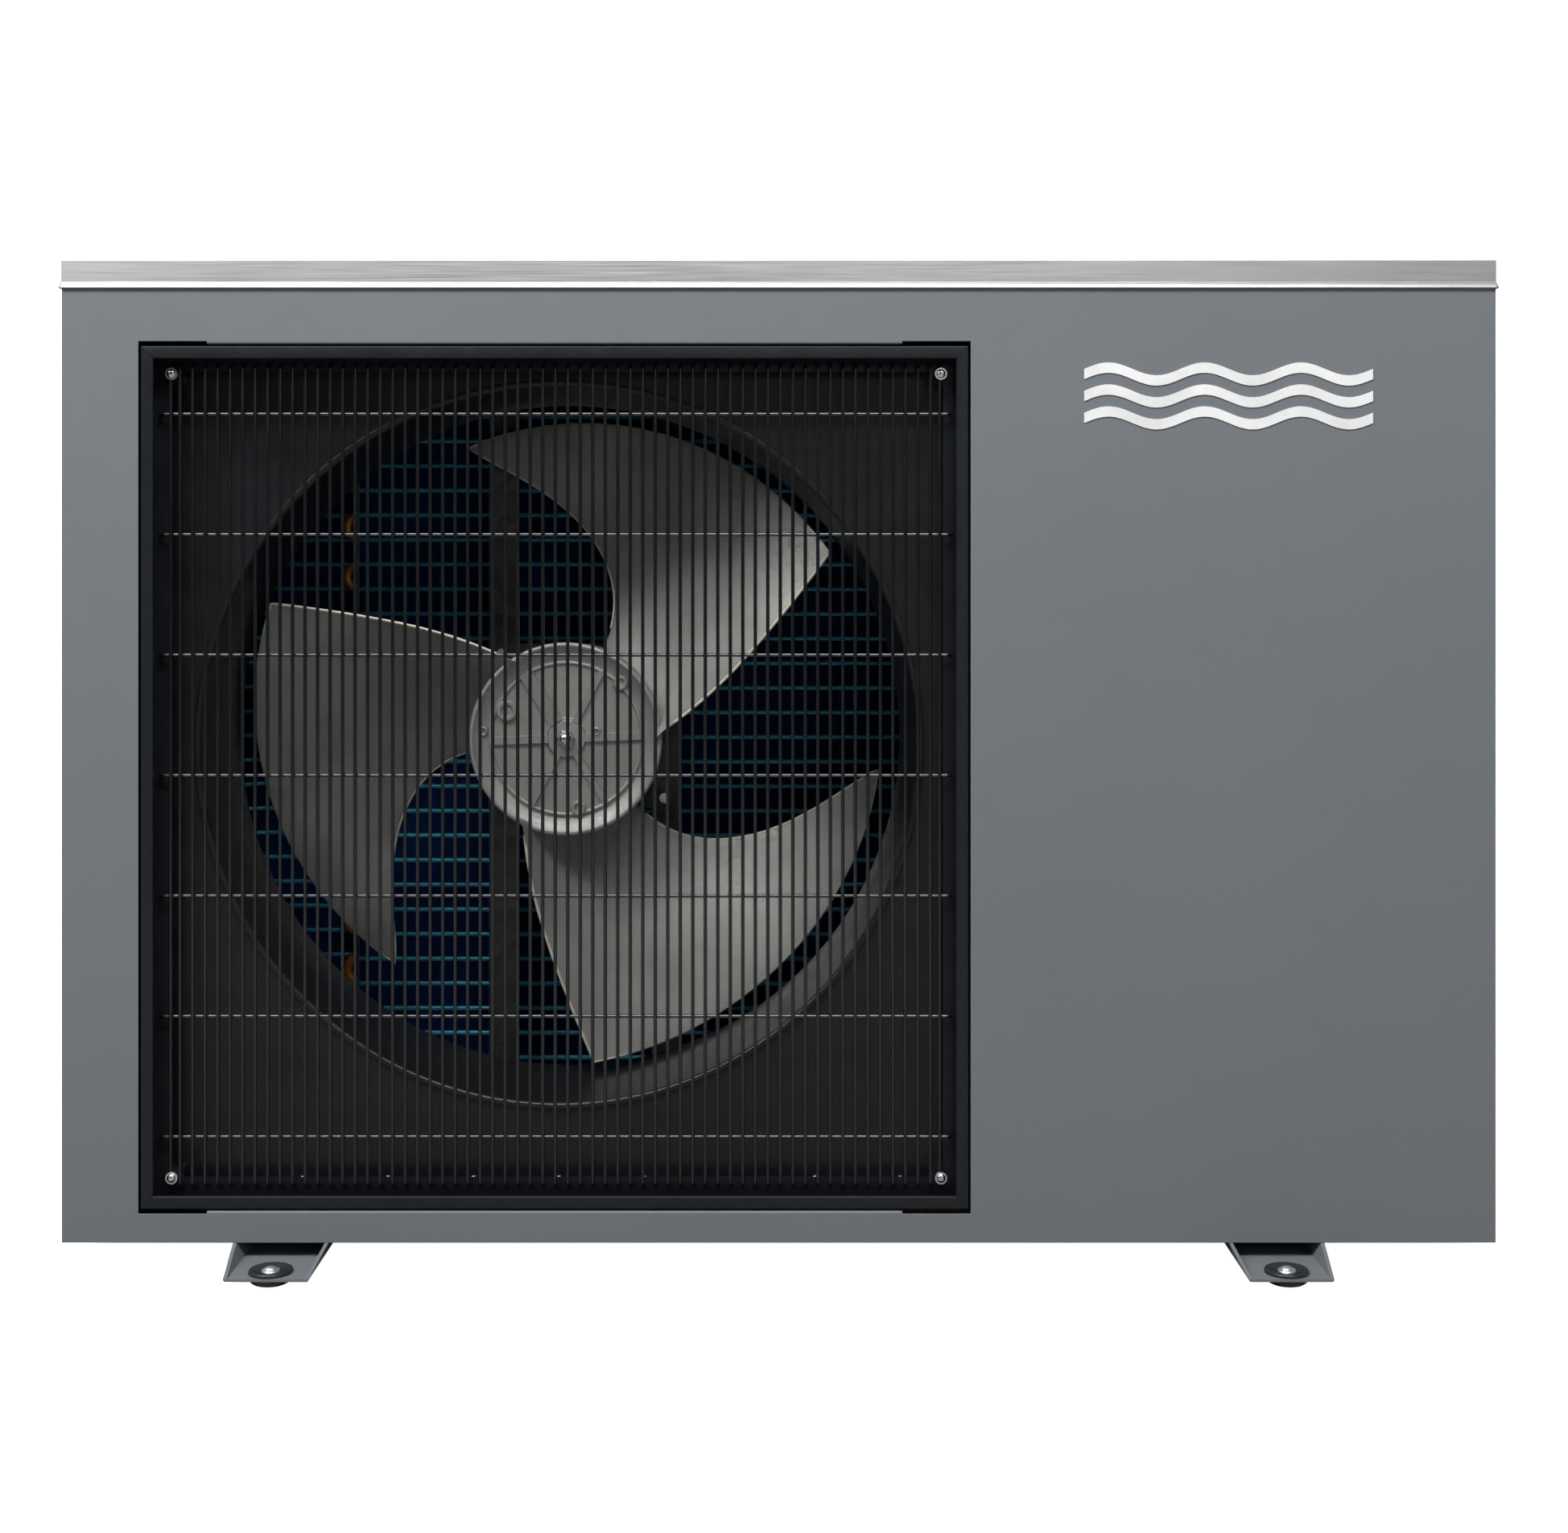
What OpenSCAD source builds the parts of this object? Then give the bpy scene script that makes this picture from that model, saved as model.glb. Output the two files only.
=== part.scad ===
// Air-source heat pump unit for a pool: sheet-metal casing on two foot rails,
// one axial fan behind a wire guard, finned coil, compressor and water exchanger.
// Millimetres, +Z up, origin on the ground under the middle of the casing.
// The fan blows towards -Y (the front); the water unions are at the rear (+Y).

/* [Casing] */
// Width over the front panel
casing_w = 1113; // [1080:1:1160]
// Depth from front panel to rear panel
casing_d = 400; // [392:1:406]
// Height of the casing's underside above the ground
casing_z = 20; // [20:1:24]
// Height of the top face of the lid
lid_top = 782.5; // [775:0.5:800]
// Width over the lid's rolled lip
lid_w = 1118; // [1116:1:1166]
// Height of the lid's skirt, lip included
lid_skirt = 21.9; // [16:0.1:30]
// Thickness of the sheet metal
sheet = 1.2; // [0.8:0.1:1.5]

/* [Fan opening] */
// Fan axis, sideways from the middle of the casing
fan_x = -175; // [-180:1:-170]
// Fan axis, height above the ground
fan_z = 403; // [398:1:406]
// Width of the opening in the front panel
opening_w = 646; // [640:1:650]
// Height of the opening in the front panel
opening_h = 673; // [665:1:680]
// Middle of the opening, height above the ground
opening_z = 381; // [378:1:384]

/* [Guard] */
// Diameter of the guard wires
wire_d = 2.8; // [2:0.1:3.2]
// Spacing of the upright wires
wire_pitch = 9.79; // [9:0.01:10]
// Number of evenly spaced upright wires
wire_count = 61; // [51:2:61]
// Spacing of the cross wires
cross_pitch = 94.4; // [85:0.1:96]
// Number of cross wires
cross_count = 7; // [5:1:7]
// Width of the guard frame's front border
border_w = 9.5; // [8:0.5:12]

/* [Fan] */
// Radius over the blade tips
fan_r = 265; // [255:1:268]
// Radius of the hub
hub_r = 83; // [75:1:88]
// Number of blades
blade_count = 3; // [2:1:5]
// Radius of the throat in the shroud
throat_r = 276; // [272:1:280]
// Radius of the fan shaft
shaft_r = 6; // [5:0.5:8]
// Radial running clearance of shafts and captive nuts
run_gap = 0.05; // [0.02:0.01:0.08]

/* [Coil] */
// Spacing of the coil's tubes
tube_pitch = 22.67; // [20:0.01:23]
// Rows of tubes, counted upwards
tube_rows = 31; // [25:2:31]
// Thickness of one fin row
fin_t = 21.5; // [18:0.5:22]

/* [Water side] */
// Bore radius of the water connections
port_bore_r = 25; // [20:0.5:26]
// Sideways place of the water connections
port_x = 440; // [435:1:445]
// Height of the water inlet
inlet_z = 120; // [110:1:160]
// Height of the water outlet
outlet_z = 420; // [380:1:440]

/* [Feet] */
// Sideways distance of each foot rail from the middle
rail_x = 386.5; // [380:0.5:400]
// Length of the foot rails, front to back
rail_len = 500; // [480:2:520]
// Radius of the rubber feet
foot_r = 17; // [14:0.5:18]

/* [Hidden] */
$fn = 64;

// Casing planes
half_w = casing_w / 2;
half_d = casing_d / 2;
front = -half_d;
lid_z = lid_top - lid_skirt;
roof_z = lid_top - sheet;
floor_z = casing_z + sheet;
fold = 14;
inner_w = half_w - sheet;
inner_d = half_d - sheet;

// Fan opening edges
open_x = [fan_x + 1 - opening_w / 2, fan_x + 1 + opening_w / 2];
open_z = [opening_z - opening_h / 2, opening_z + opening_h / 2];
relief_w = 53;
relief_h = 2;

// Guard
guard_gap = 1.6;
guard_depth = 26;
frame_x = [open_x[0] + guard_gap, open_x[1] - guard_gap];
frame_z = [open_z[0] + guard_gap, open_z[1] - guard_gap];
frame_y = front + 0.5;
frame_back = frame_y + guard_depth;
wire_r = wire_d / 2;
wire_y = front + 15;
weld = 0.05;
cross_y = wire_y + wire_d - weld;
bend_r = 4;
wire_z = [frame_z[0] + 12.5, frame_z[1] - 13];
cross_half = 310.5;
end_wire = 7.4;
cross_z0 = opening_z - cross_pitch * (cross_count - 1) / 2;
corner_screw = 20.5;
gusset = 36;

// Shroud
shroud_y = front + 45;
shroud_end = front + 137;
rim_r = throat_r + 12;
shroud_x = [-inner_w + 2, 159.5];

// Fan, measured along +Y
hub_front = front + 120;
hub_back = front + 195;
blade_front = front + 95;
blade_root_back = front + 175;
blade_tip_back = front + 234;
motor_front = front + 145;
plate_y = front + 246;
rail_y = front + 250;
plate_x = [-258, -89.5];
plate_z = [330, 476];

// Coil
row_z0 = opening_z + 6.5 - tube_pitch * (tube_rows - 1) / 2;
coil_z = [row_z0 - tube_pitch / 2, row_z0 + tube_pitch * (tube_rows - 0.5)];
coil_y = front + 315;
outer_y = coil_y + fin_t + 1;
coil_right = 116;
inner_left = -386;
leg_x = -540;
coil_bend = 50;
leg_end = -115;
tube_r = 4;
coil_sheet = 1.5;

// Refrigerant and water parts, seen from above
part_x = 160;
comp = [270, -60];
comp_r = 62;
acc = [370, -60];
acc_r = 35;
exch = [port_x, 70];
exch_r = 100;
exch_top = 520;
valve_z = 440;
valve_r = 20;
header = [143, 148];
metering = [220, 100];
gas_z = 520;
liquid_z = 320;
drain = [-60, 60];
gland = [300, 600];

// Colours
c_panel = [0.44, 0.46, 0.48];
c_black = [0.14, 0.15, 0.16];
c_steel = [0.75, 0.76, 0.77];
c_zinc = [0.62, 0.63, 0.64];
c_cast = [0.66, 0.66, 0.63];
c_copper = [0.78, 0.42, 0.22];
c_brass = [0.78, 0.66, 0.36];
c_rubber = [0.1, 0.1, 0.11];
c_fin = [0.05, 0.17, 0.42];
c_white = [0.95, 0.95, 0.95];

// ---------------------------------------------------------------- shapes

// Box from its low and high limits along X, Y and Z
module slab(x, y, z) {
    translate([x[0], y[0], z[0]])
        cube([x[1] - x[0], y[1] - y[0], z[1] - z[0]]);
}

// Round rods along one axis, from one limit to the other
module rod_x(y, z, x, r) {
    translate([x[0], y, z])
        rotate([0, 90, 0])
            cylinder(h = x[1] - x[0], r = r);
}

module rod_y(x, z, y, r) {
    translate([x, y[0], z])
        rotate([-90, 0, 0])
            cylinder(h = y[1] - y[0], r = r);
}

module rod_z(x, y, z, r) {
    translate([x, y, z[0]])
        cylinder(h = z[1] - z[0], r = r);
}

// Hexagonal prism along Y
module hex_y(x, z, y, flats) {
    translate([x, y[0], z])
        rotate([-90, 0, 0])
            cylinder(h = y[1] - y[0], r = flats / sqrt(3), $fn = 6);
}

// Hexagonal prism along Z
module hex_z(x, y, z, flats) {
    translate([x, y, z[0]])
        cylinder(h = z[1] - z[0], r = flats / sqrt(3), $fn = 6);
}

// A flat grid of slots, lying in XZ, with its low corner at the origin
module slot_grid(w, h, t, columns, rows, bar) {
    slot_w = (w - bar) / columns - bar;
    slot_h = (h - bar) / rows - bar;
    translate([0, t, 0])
        rotate([90, 0, 0])
            linear_extrude(t)
                difference() {
                    square([w, h]);
                    for (i = [0:columns - 1], k = [0:rows - 1])
                        translate([bar + i * (slot_w + bar), bar + k * (slot_h + bar)])
                            square([slot_w, slot_h]);
                }
}

// Quarter bend of a round rod in the YZ plane: from the +Z side of the origin to its +Y side
module quarter_bend(r, bend) {
    translate([0, bend, bend])
        rotate([90, 0, 90])
            rotate([0, 0, 180])
                rotate_extrude(angle = 90)
                    translate([bend, 0])
                        circle(r = r);
}

// Swept round tube with rounded corners
function unit(v) = v / norm(v);

function corner(a, b, c, bend) =
    let (d1 = unit(b - a), d2 = unit(c - b), middle = b + bend * (d2 - d1))
    [for (turn = [0:18:90]) middle + bend * (d1 * sin(turn) - d2 * cos(turn))];

function rounded(p, bend) = concat(
    [p[0]],
    [for (i = [1:1:len(p) - 2]) each corner(p[i - 1], p[i], p[i + 1], bend)],
    [p[len(p) - 1]]
);

function heading(p, i) = unit(p[min(i + 1, len(p) - 1)] - p[max(i - 1, 0)]);

function square_on(v, along) = unit(v - (v * along) * along);

function side_vectors(p, i = 0, last = [0.3, 0.5, 0.81]) =
    i == len(p) ? [] :
    let (side = square_on(last, heading(p, i)))
    concat([side], side_vectors(p, i + 1, side));

module tube_along(points, r, bend, sides = 12) {
    p = rounded(points, bend);
    side = side_vectors(p);
    n = len(p);
    rings = [
        for (i = [0:n - 1])
            let (u = side[i], v = cross(heading(p, i), u))
            for (k = [0:sides - 1])
                p[i] + r * (u * cos(360 * k / sides) + v * sin(360 * k / sides))
    ];
    walls = [
        for (i = [0:n - 2], k = [0:sides - 1])
            let (a = i * sides + k, b = i * sides + (k + 1) % sides)
            [a, a + sides, b + sides, b]
    ];
    caps = [
        [for (k = [0:sides - 1]) k],
        [for (k = [sides - 1:-1:0]) (n - 1) * sides + k]
    ];
    polyhedron(points = rings, faces = concat(walls, caps));
}

// Self-tapping screw along an axis through the origin, head towards -Y
module small_screw(head_r, head_t, shank_r, shank_len) {
    rod_y(0, 0, [-head_t, 0], head_r);
    rod_y(0, 0, [-0.01, shank_len], shank_r);
}

// ---------------------------------------------------------------- base and feet

rim_h = 22;
comp_ears = [for (turn = [90, 210, 330]) comp + 85 * [cos(turn), sin(turn)]];

module base_pan() {
    color(c_zinc)
        difference() {
            slab([-inner_w, inner_w], [-inner_d, inner_d], [casing_z, casing_z + rim_h]);
            slab([-inner_w + sheet, inner_w - sheet], [-inner_d + sheet, inner_d - sheet],
                 [floor_z, casing_z + rim_h + 1]);
            rod_z(drain[0], drain[1], [casing_z - 1, floor_z + 1], 10);
        }
}

// Trough-shaped foot rail: open on top, its ends cut at a slope
rail_foot_w = 63;
rail_top_w = 74;
rail_floor = 6;
rail_t = 2;

module rail_section(low, high) {
    polygon([[-low / 2, rail_floor], [low / 2, rail_floor], [high / 2, casing_z], [-high / 2, casing_z]]);
}

module foot_rail(x) {
    color(c_panel)
        translate([x, 0, 0])
            difference() {
                translate([0, rail_len / 2, 0])
                    rotate([90, 0, 0])
                        linear_extrude(rail_len)
                            difference() {
                                rail_section(rail_foot_w, rail_top_w);
                                translate([0, rail_t + 0.01])
                                    rail_section(rail_foot_w - 2 * rail_t, rail_top_w - 2 * rail_t);
                            }
                for (way = [-1, 1])
                    rotate([0, 0, way == 1 ? 0 : 180])
                        translate([-rail_top_w, 0, 0])
                            rotate([90, 0, 90])
                                linear_extrude(2 * rail_top_w)
                                    polygon([
                                        [rail_len / 2, rail_floor + rail_t],
                                        [rail_len / 2 + 1, rail_floor + rail_t],
                                        [rail_len / 2 + 1, casing_z + 1],
                                        [half_d, casing_z + 1],
                                        [half_d, casing_z]
                                    ]);
                for (y = [-1, 1])
                    rod_z(0, y * (rail_len / 2 - foot_r), [0, casing_z], 9);
            }
}

module foot_rail_left() { foot_rail(-rail_x); }

module foot_rail_right() { foot_rail(rail_x); }

foot_y = rail_len / 2 - foot_r;
foot_places = [for (x = [-rail_x, rail_x], y = [-foot_y, foot_y]) [x, y, 0]];
insert_r = 6;
insert_top = 9;
thread_r = 4;
thread_top = 6.5;
cap_thread_r = 3;

// Grommet foot: a pad under the rail floor, a neck through it and a dished head above
module rubber_feet() {
    color(c_rubber)
        for (place = foot_places)
            translate(place)
                rotate_extrude()
                    polygon([
                        [insert_r, 0], [foot_r - 1, 0], [foot_r, 1], [foot_r, rail_floor - 0.5],
                        [foot_r - 0.5, rail_floor], [9, rail_floor], [9, rail_floor + rail_t],
                        [foot_r - 1.5, rail_floor + rail_t], [foot_r - 2.5, rail_floor + rail_t + 2],
                        [foot_r - 5, rail_floor + rail_t + 3], [insert_r + 2.5, insert_top],
                        [insert_r, insert_top]
                    ]);
}

// Steel sleeve: a thread that takes an anchor bolt from below, and a narrower one above it
module foot_inserts() {
    color(c_steel)
        for (place = foot_places)
            translate(place)
                difference() {
                    rod_z(0, 0, [0.5, insert_top], insert_r);
                    rod_z(0, 0, [0, thread_top], thread_r);
                    rod_z(0, 0, [thread_top - 1, insert_top + 1], cap_thread_r);
                }
}

// Short set bolt that closes the sleeve from above
module foot_bolts() {
    color(c_steel)
        for (place = foot_places)
            translate(place) {
                rod_z(0, 0, [insert_top, insert_top + 1.2], insert_r + 1);
                rod_z(0, 0, [insert_top + 1.2, insert_top + 3.6], 4.6);
                rod_z(0, 0, [thread_top + 0.5, insert_top + 0.01], cap_thread_r - 0.05);
            }
}

// ---------------------------------------------------------------- casing

// Sheet with side folds, facing -Y, without its openings
module folded_panel(x) {
    slab(x, [front, front + sheet], [casing_z, roof_z]);
    slab([x[0], x[0] + sheet], [front, front + fold], [casing_z, roof_z]);
    slab([x[1] - sheet, x[1]], [front, front + fold], [casing_z, roof_z]);
}

module front_panel() {
    deep = 20;
    color(c_panel)
        difference() {
            union() {
                folded_panel([-half_w, half_w]);
                slab([open_x[0] + relief_w, open_x[1] - relief_w], [front + 0.01, front + deep],
                     [open_z[0] - sheet, open_z[0] + 0.01]);
                slab([open_x[0] + relief_w, open_x[1] - relief_w], [front + 0.01, front + deep],
                     [open_z[1] - 0.01, open_z[1] + sheet]);
            }
            slab(open_x, [front - 1, front + deep + 1], open_z);
            for (x = [open_x[0], open_x[1] - relief_w])
                slab([x, x + relief_w], [front - 1, front + fold],
                     [open_z[0] - relief_h, open_z[1] + relief_h]);
        }
}

side_y = [front + fold + 0.2, half_d - fold - 0.2];
side_open_y = [-120, 120];
coil_open_z = [60, 735];

module left_panel() {
    color(c_panel)
        difference() {
            slab([-half_w, -inner_w], side_y, [casing_z, roof_z]);
            slab([-half_w - 1, -inner_w + 1], side_open_y, coil_open_z);
        }
}

// Service side: a plain sheet with a pressed grip pocket near the top
grip_y = [-70, 70];
grip_z = [640, 680];

module right_panel() {
    color(c_panel) {
        difference() {
            slab([inner_w, half_w], side_y, [casing_z, roof_z]);
            slab([inner_w - 1, half_w + 1], grip_y, grip_z);
        }
        difference() {
            slab([inner_w - 8, inner_w + 0.01], [grip_y[0] - sheet, grip_y[1] + sheet],
                 [grip_z[0] - sheet, grip_z[1] + sheet]);
            slab([inner_w - 8 + sheet, half_w + 1], grip_y, grip_z);
        }
    }
}

rear_open_x = [-500, 100];

module rear_panel() {
    color(c_panel)
        difference() {
            mirror([0, 1, 0])
                folded_panel([-half_w, half_w]);
            slab(rear_open_x, [half_d - 2 * sheet, half_d + 1], coil_open_z);
            for (z = [inlet_z, outlet_z])
                rod_y(port_x, z, [half_d - 5, half_d + 1], port_bore_r + 6);
            rod_y(gland[0], gland[1], [half_d - 5, half_d + 1], 10.2);
        }
}

lip_h = 5;
lip_out = 1;

module top_lid() {
    body_w = lid_w / 2 - lip_out;
    body_d = half_d + 2.5 - lip_out;
    color(c_steel)
        difference() {
            union() {
                slab([-body_w, body_w], [-body_d, body_d], [lid_z, lid_top]);
                slab([-body_w - lip_out, body_w + lip_out], [-body_d - lip_out, body_d + lip_out],
                     [lid_z, lid_z + lip_h]);
            }
            slab([-half_w - 0.2, half_w + 0.2], [-half_d - 0.2, half_d + 0.2], [lid_z - 1, roof_z]);
        }
}

// One screw of the casing: places it at a point with its head facing the given way
module casing_screw(place, turn) {
    translate(place)
        rotate([0, 0, turn])
            small_screw(4, 0.9, 1.8, 6);
}

lid_screw_x = [-450, -150, 150, 450];
lid_screw_y = [-120, 120];
lid_screw_z = lid_z + 12;
side_screw_y = [-170, 170];
side_screw_z = [32, 740];
rear_screw_x = [-530, -190, 150, 530];
rear_screw_z = [32, 745];

module casing_screws() {
    skirt_x = lid_w / 2 - lip_out;
    skirt_y = half_d + 2.5 - lip_out;
    color(c_zinc) {
        for (y = lid_screw_y, side = [-1, 1])
            casing_screw([side * skirt_x, y, lid_screw_z], side * 90);
        for (x = lid_screw_x)
            casing_screw([x, skirt_y, lid_screw_z], 180);
        for (z = side_screw_z, y = side_screw_y, side = [-1, 1])
            casing_screw([side * half_w, y, z], side * 90);
        for (z = rear_screw_z, x = rear_screw_x)
            casing_screw([x, half_d, z], 180);
    }
}

// ---------------------------------------------------------------- guard and shroud

module grille_frame() {
    color(c_black)
        difference() {
            union() {
                difference() {
                    slab(frame_x, [frame_y, frame_back], frame_z);
                    slab([frame_x[0] + border_w, frame_x[1] - border_w],
                         [frame_y - 1, frame_back + 1],
                         [frame_z[0] + border_w, frame_z[1] - border_w]);
                    slab([frame_x[0] + sheet, frame_x[1] - sheet],
                         [frame_y + sheet, frame_back - sheet],
                         [frame_z[0] + sheet, frame_z[1] - sheet]);
                }
                difference() {
                    slab([frame_x[0] + sheet, frame_x[1] - sheet], [frame_back - sheet, frame_back],
                         [frame_z[0] + sheet, frame_z[1] - sheet]);
                    slab([frame_x[0] + 18, frame_x[1] - 18], [frame_back - 5, frame_back + 1],
                         [frame_z[0] + gusset, frame_z[1] - gusset]);
                    slab([frame_x[0] + gusset, frame_x[1] - gusset], [frame_back - 5, frame_back + 1],
                         [frame_z[0] + 18, frame_z[1] - 18]);
                }
            }
            for (place = grille_corners)
                rod_y(place[0], place[1], [frame_back - 5, frame_back + 1], 2.2);
        }
}

grille_corners = [
    for (x = [frame_x[0] + corner_screw, frame_x[1] - corner_screw],
         z = [frame_z[0] + corner_screw, frame_z[1] - corner_screw])
        [x, z]
];

// One upright wire, both ends turned back onto the frame's rear flange
module upright_wire(x) {
    back = frame_back - sheet;
    rod_z(x, wire_y, [wire_z[0] + bend_r, wire_z[1] - bend_r], wire_r);
    for (end = [0, 1])
        translate([x, wire_y, wire_z[end]])
            mirror([0, 0, end]) {
                quarter_bend(wire_r, bend_r);
                rod_y(0, 0, [bend_r, back - wire_y], wire_r);
            }
}

module guard_wires() {
    reach = wire_pitch * (wire_count - 1) / 2;
    color(c_black) {
        for (i = [0:wire_count - 1])
            upright_wire(fan_x + wire_pitch * i - reach);
        for (side = [-1, 1])
            upright_wire(fan_x + side * (reach + end_wire));
    }
}

module guard_crossbars() {
    back = frame_back - sheet;
    color(c_black)
        for (i = [0:cross_count - 1])
            translate([fan_x, cross_y, cross_z0 + cross_pitch * i]) {
                rod_x(0, 0, [bend_r - cross_half, cross_half - bend_r], wire_r);
                for (end = [0, 1])
                    mirror([end, 0, 0])
                        translate([-cross_half, 0, 0]) {
                            rotate([0, 90, 0])
                                quarter_bend(wire_r, bend_r);
                            rod_y(0, 0, [bend_r, back - cross_y], wire_r);
                        }
            }
}

module grille_screws() {
    color(c_steel)
        for (place = grille_corners)
            translate([place[0], frame_back - sheet, place[1]]) {
                rod_y(0, 0, [-1, 0], 5);
                rod_y(0, 0, [-3.4, -0.99], 3.6);
                rod_y(0, 0, [-0.01, 24], 2);
            }
}

shroud_screw_x = [for (i = [0:8]) fan_x - 272 + 68 * i];
shroud_screw_z = [57, 709];

// Flat bulkhead with a rolled bell mouth and a short duct round the fan
module fan_shroud() {
    round_r = rim_r - throat_r;
    wall = 2;
    proud = 3;
    round_y = shroud_y - proud + round_r;
    color(c_black) {
        difference() {
            slab(shroud_x, [shroud_y, shroud_y + sheet], [casing_z + rim_h + 1, roof_z - 1]);
            rod_y(fan_x, fan_z, [shroud_y - 1, shroud_y + 5], rim_r + wall / 2);
            for (x = shroud_screw_x, z = shroud_screw_z)
                rod_y(x, z, [shroud_y - 1, shroud_y + 5], 1.6);
            for (place = grille_corners)
                rod_y(place[0], place[1], [shroud_y - 1, shroud_y + 5], 2.1);
        }
        translate([fan_x, 0, fan_z])
            rotate([-90, 0, 0])
                rotate_extrude() {
                    translate([rim_r, round_y])
                        intersection() {
                            difference() {
                                circle(r = round_r);
                                circle(r = round_r - wall);
                            }
                            translate([-round_r - 1, -round_r - 1])
                                square(round_r + 1);
                        }
                    translate([throat_r, round_y])
                        square([wall, shroud_end - round_y]);
                    translate([rim_r, shroud_y - proud])
                        square([wall, proud + sheet / 2]);
                }
    }
}

module shroud_screws() {
    color(c_steel)
        for (x = shroud_screw_x, z = shroud_screw_z)
            translate([x, shroud_y, z])
                small_screw(3, 2, 1.55, 10);
}

// Moulded grids that cover the coil from outside
module rear_guard() {
    edge = 8;
    color(c_black)
        translate([rear_open_x[0] - edge, half_d - sheet - 3, coil_open_z[0] - edge])
            slot_grid(rear_open_x[1] - rear_open_x[0] + 2 * edge,
                      coil_open_z[1] - coil_open_z[0] + 2 * edge, 3, 22, 7, 3);
}

module left_guard() {
    edge = 8;
    color(c_black)
        translate([-inner_w, side_open_y[1] + edge, coil_open_z[0] - edge])
            rotate([0, 0, -90])
                slot_grid(side_open_y[1] - side_open_y[0] + 2 * edge,
                          coil_open_z[1] - coil_open_z[0] + 2 * edge, 3, 9, 7, 3);
}

// ---------------------------------------------------------------- fan and motor

module partition() {
    color(c_zinc)
        difference() {
            slab([part_x, part_x + sheet], [-inner_d + 2, inner_d - 2], [floor_z, roof_z - 1]);
            rod_x(header[1], gas_z, [part_x - 1, part_x + 5], 10);
            rod_x(metering[1], liquid_z, [part_x - 1, part_x + 5], 8);
        }
}

// Two upright channels behind the fan, open to the rear
module motor_rails() {
    w = 24;
    color(c_zinc)
        for (x = [plate_x[0], plate_x[1] - w])
            difference() {
                slab([x, x + w], [rail_y, rail_y + 25], [floor_z, roof_z - 1]);
                slab([x + 1.5, x + w - 1.5], [rail_y + 1.5, rail_y + 30], [floor_z - 1, roof_z]);
                for (z = motor_screw_z)
                    rod_y(x + w / 2, z, [rail_y - 1, rail_y + 5], 2);
            }
}

motor_screw_x = [plate_x[0] + 12, plate_x[1] - 12];
motor_screw_z = [plate_z[0] + 9, plate_z[1] - 9];

module motor_plate() {
    color(c_zinc)
        difference() {
            slab(plate_x, [plate_y, rail_y], plate_z);
            rod_y(fan_x, fan_z, [plate_y - 1, rail_y + 1], 20);
            for (x = motor_screw_x, z = motor_screw_z)
                rod_y(x, z, [plate_y - 1, rail_y + 1], 2.2);
        }
}

// Motor: finned drum with a front bearing boss; the shaft turns in its bore
module fan_motor() {
    motor_r = 60;
    color(c_black)
        difference() {
            union() {
                rod_y(fan_x, fan_z, [motor_front, plate_y], motor_r);
                rod_y(fan_x, fan_z, [motor_front - 5, motor_front + 1], 22);
                for (i = [0:5])
                    rod_y(fan_x, fan_z, [motor_front + 12 + 14 * i, motor_front + 16 + 14 * i],
                          motor_r + 4);
            }
            rod_y(fan_x, fan_z, [motor_front - 6, plate_y + 1], shaft_r + run_gap);
        }
}

module motor_screws() {
    color(c_steel)
        for (x = motor_screw_x, z = motor_screw_z)
            translate([x, plate_y, z])
                small_screw(4.5, 3, 1.95, 12);
}

stud_r = 4;
nut_y = hub_front - 6;

module fan_shaft() {
    color(c_steel) {
        rod_y(fan_x, fan_z, [nut_y + 2.5, plate_y - 2], shaft_r);
        rod_y(fan_x, fan_z, [nut_y - 9, nut_y + 2.51], stud_r);
    }
}

// Blade outline: angle of the two edges and their place along the axis, by radius share
function trail_angle(t) = 35.2 * pow(t, 0.58);
function lead_angle(t) = 70.5 + 42 * t * t * (2.5 - 1.5 * t);
function lead_y(t) = blade_root_back + (blade_tip_back - blade_root_back) * t;

function blade_mid(t, c) =
    let (
        r = hub_r - 3 + (fan_r - hub_r + 3) * t,
        turn = trail_angle(t) + (lead_angle(t) - trail_angle(t)) * c,
        y = blade_front + (lead_y(t) - blade_front) * (c + 0.35 * c * (1 - c))
    )
    [r * cos(turn), y, r * sin(turn)];

function blade_thick(t, c) = 1.2 + (4.5 - 2 * t) * sqrt(max(0, c * (1 - c)));

module blade() {
    spans = 12;
    chords = 9;
    side = (spans + 1) * (chords + 1);
    points = [
        for (way = [-1, 1], i = [0:spans], k = [0:chords])
            blade_mid(i / spans, k / chords)
                + [0, way * blade_thick(i / spans, k / chords), 0]
    ];
    quads = [
        for (i = [0:spans - 1], k = [0:chords - 1])
            let (a = i * (chords + 1) + k, b = a + chords + 1)
            each [
                [a, a + 1, b], [a + 1, b + 1, b],
                [side + a, side + b, side + a + 1], [side + a + 1, side + b, side + b + 1]
            ]
    ];
    edges = [
        for (i = [0:spans - 1])
            let (a = i * (chords + 1), b = a + chords + 1, c = a + chords, d = b + chords)
            each [
                [a, b, side + a], [b, side + b, side + a],
                [c, side + c, d], [d, side + c, side + d]
            ]
    ];
    ends = [
        for (k = [0:chords - 1])
            let (a = k, b = spans * (chords + 1) + k)
            each [
                [a, side + a, a + 1], [a + 1, side + a, side + a + 1],
                [b, b + 1, side + b], [b + 1, side + b + 1, side + b]
            ]
    ];
    polyhedron(points = points, faces = concat(quads, edges, ends));
}

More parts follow.
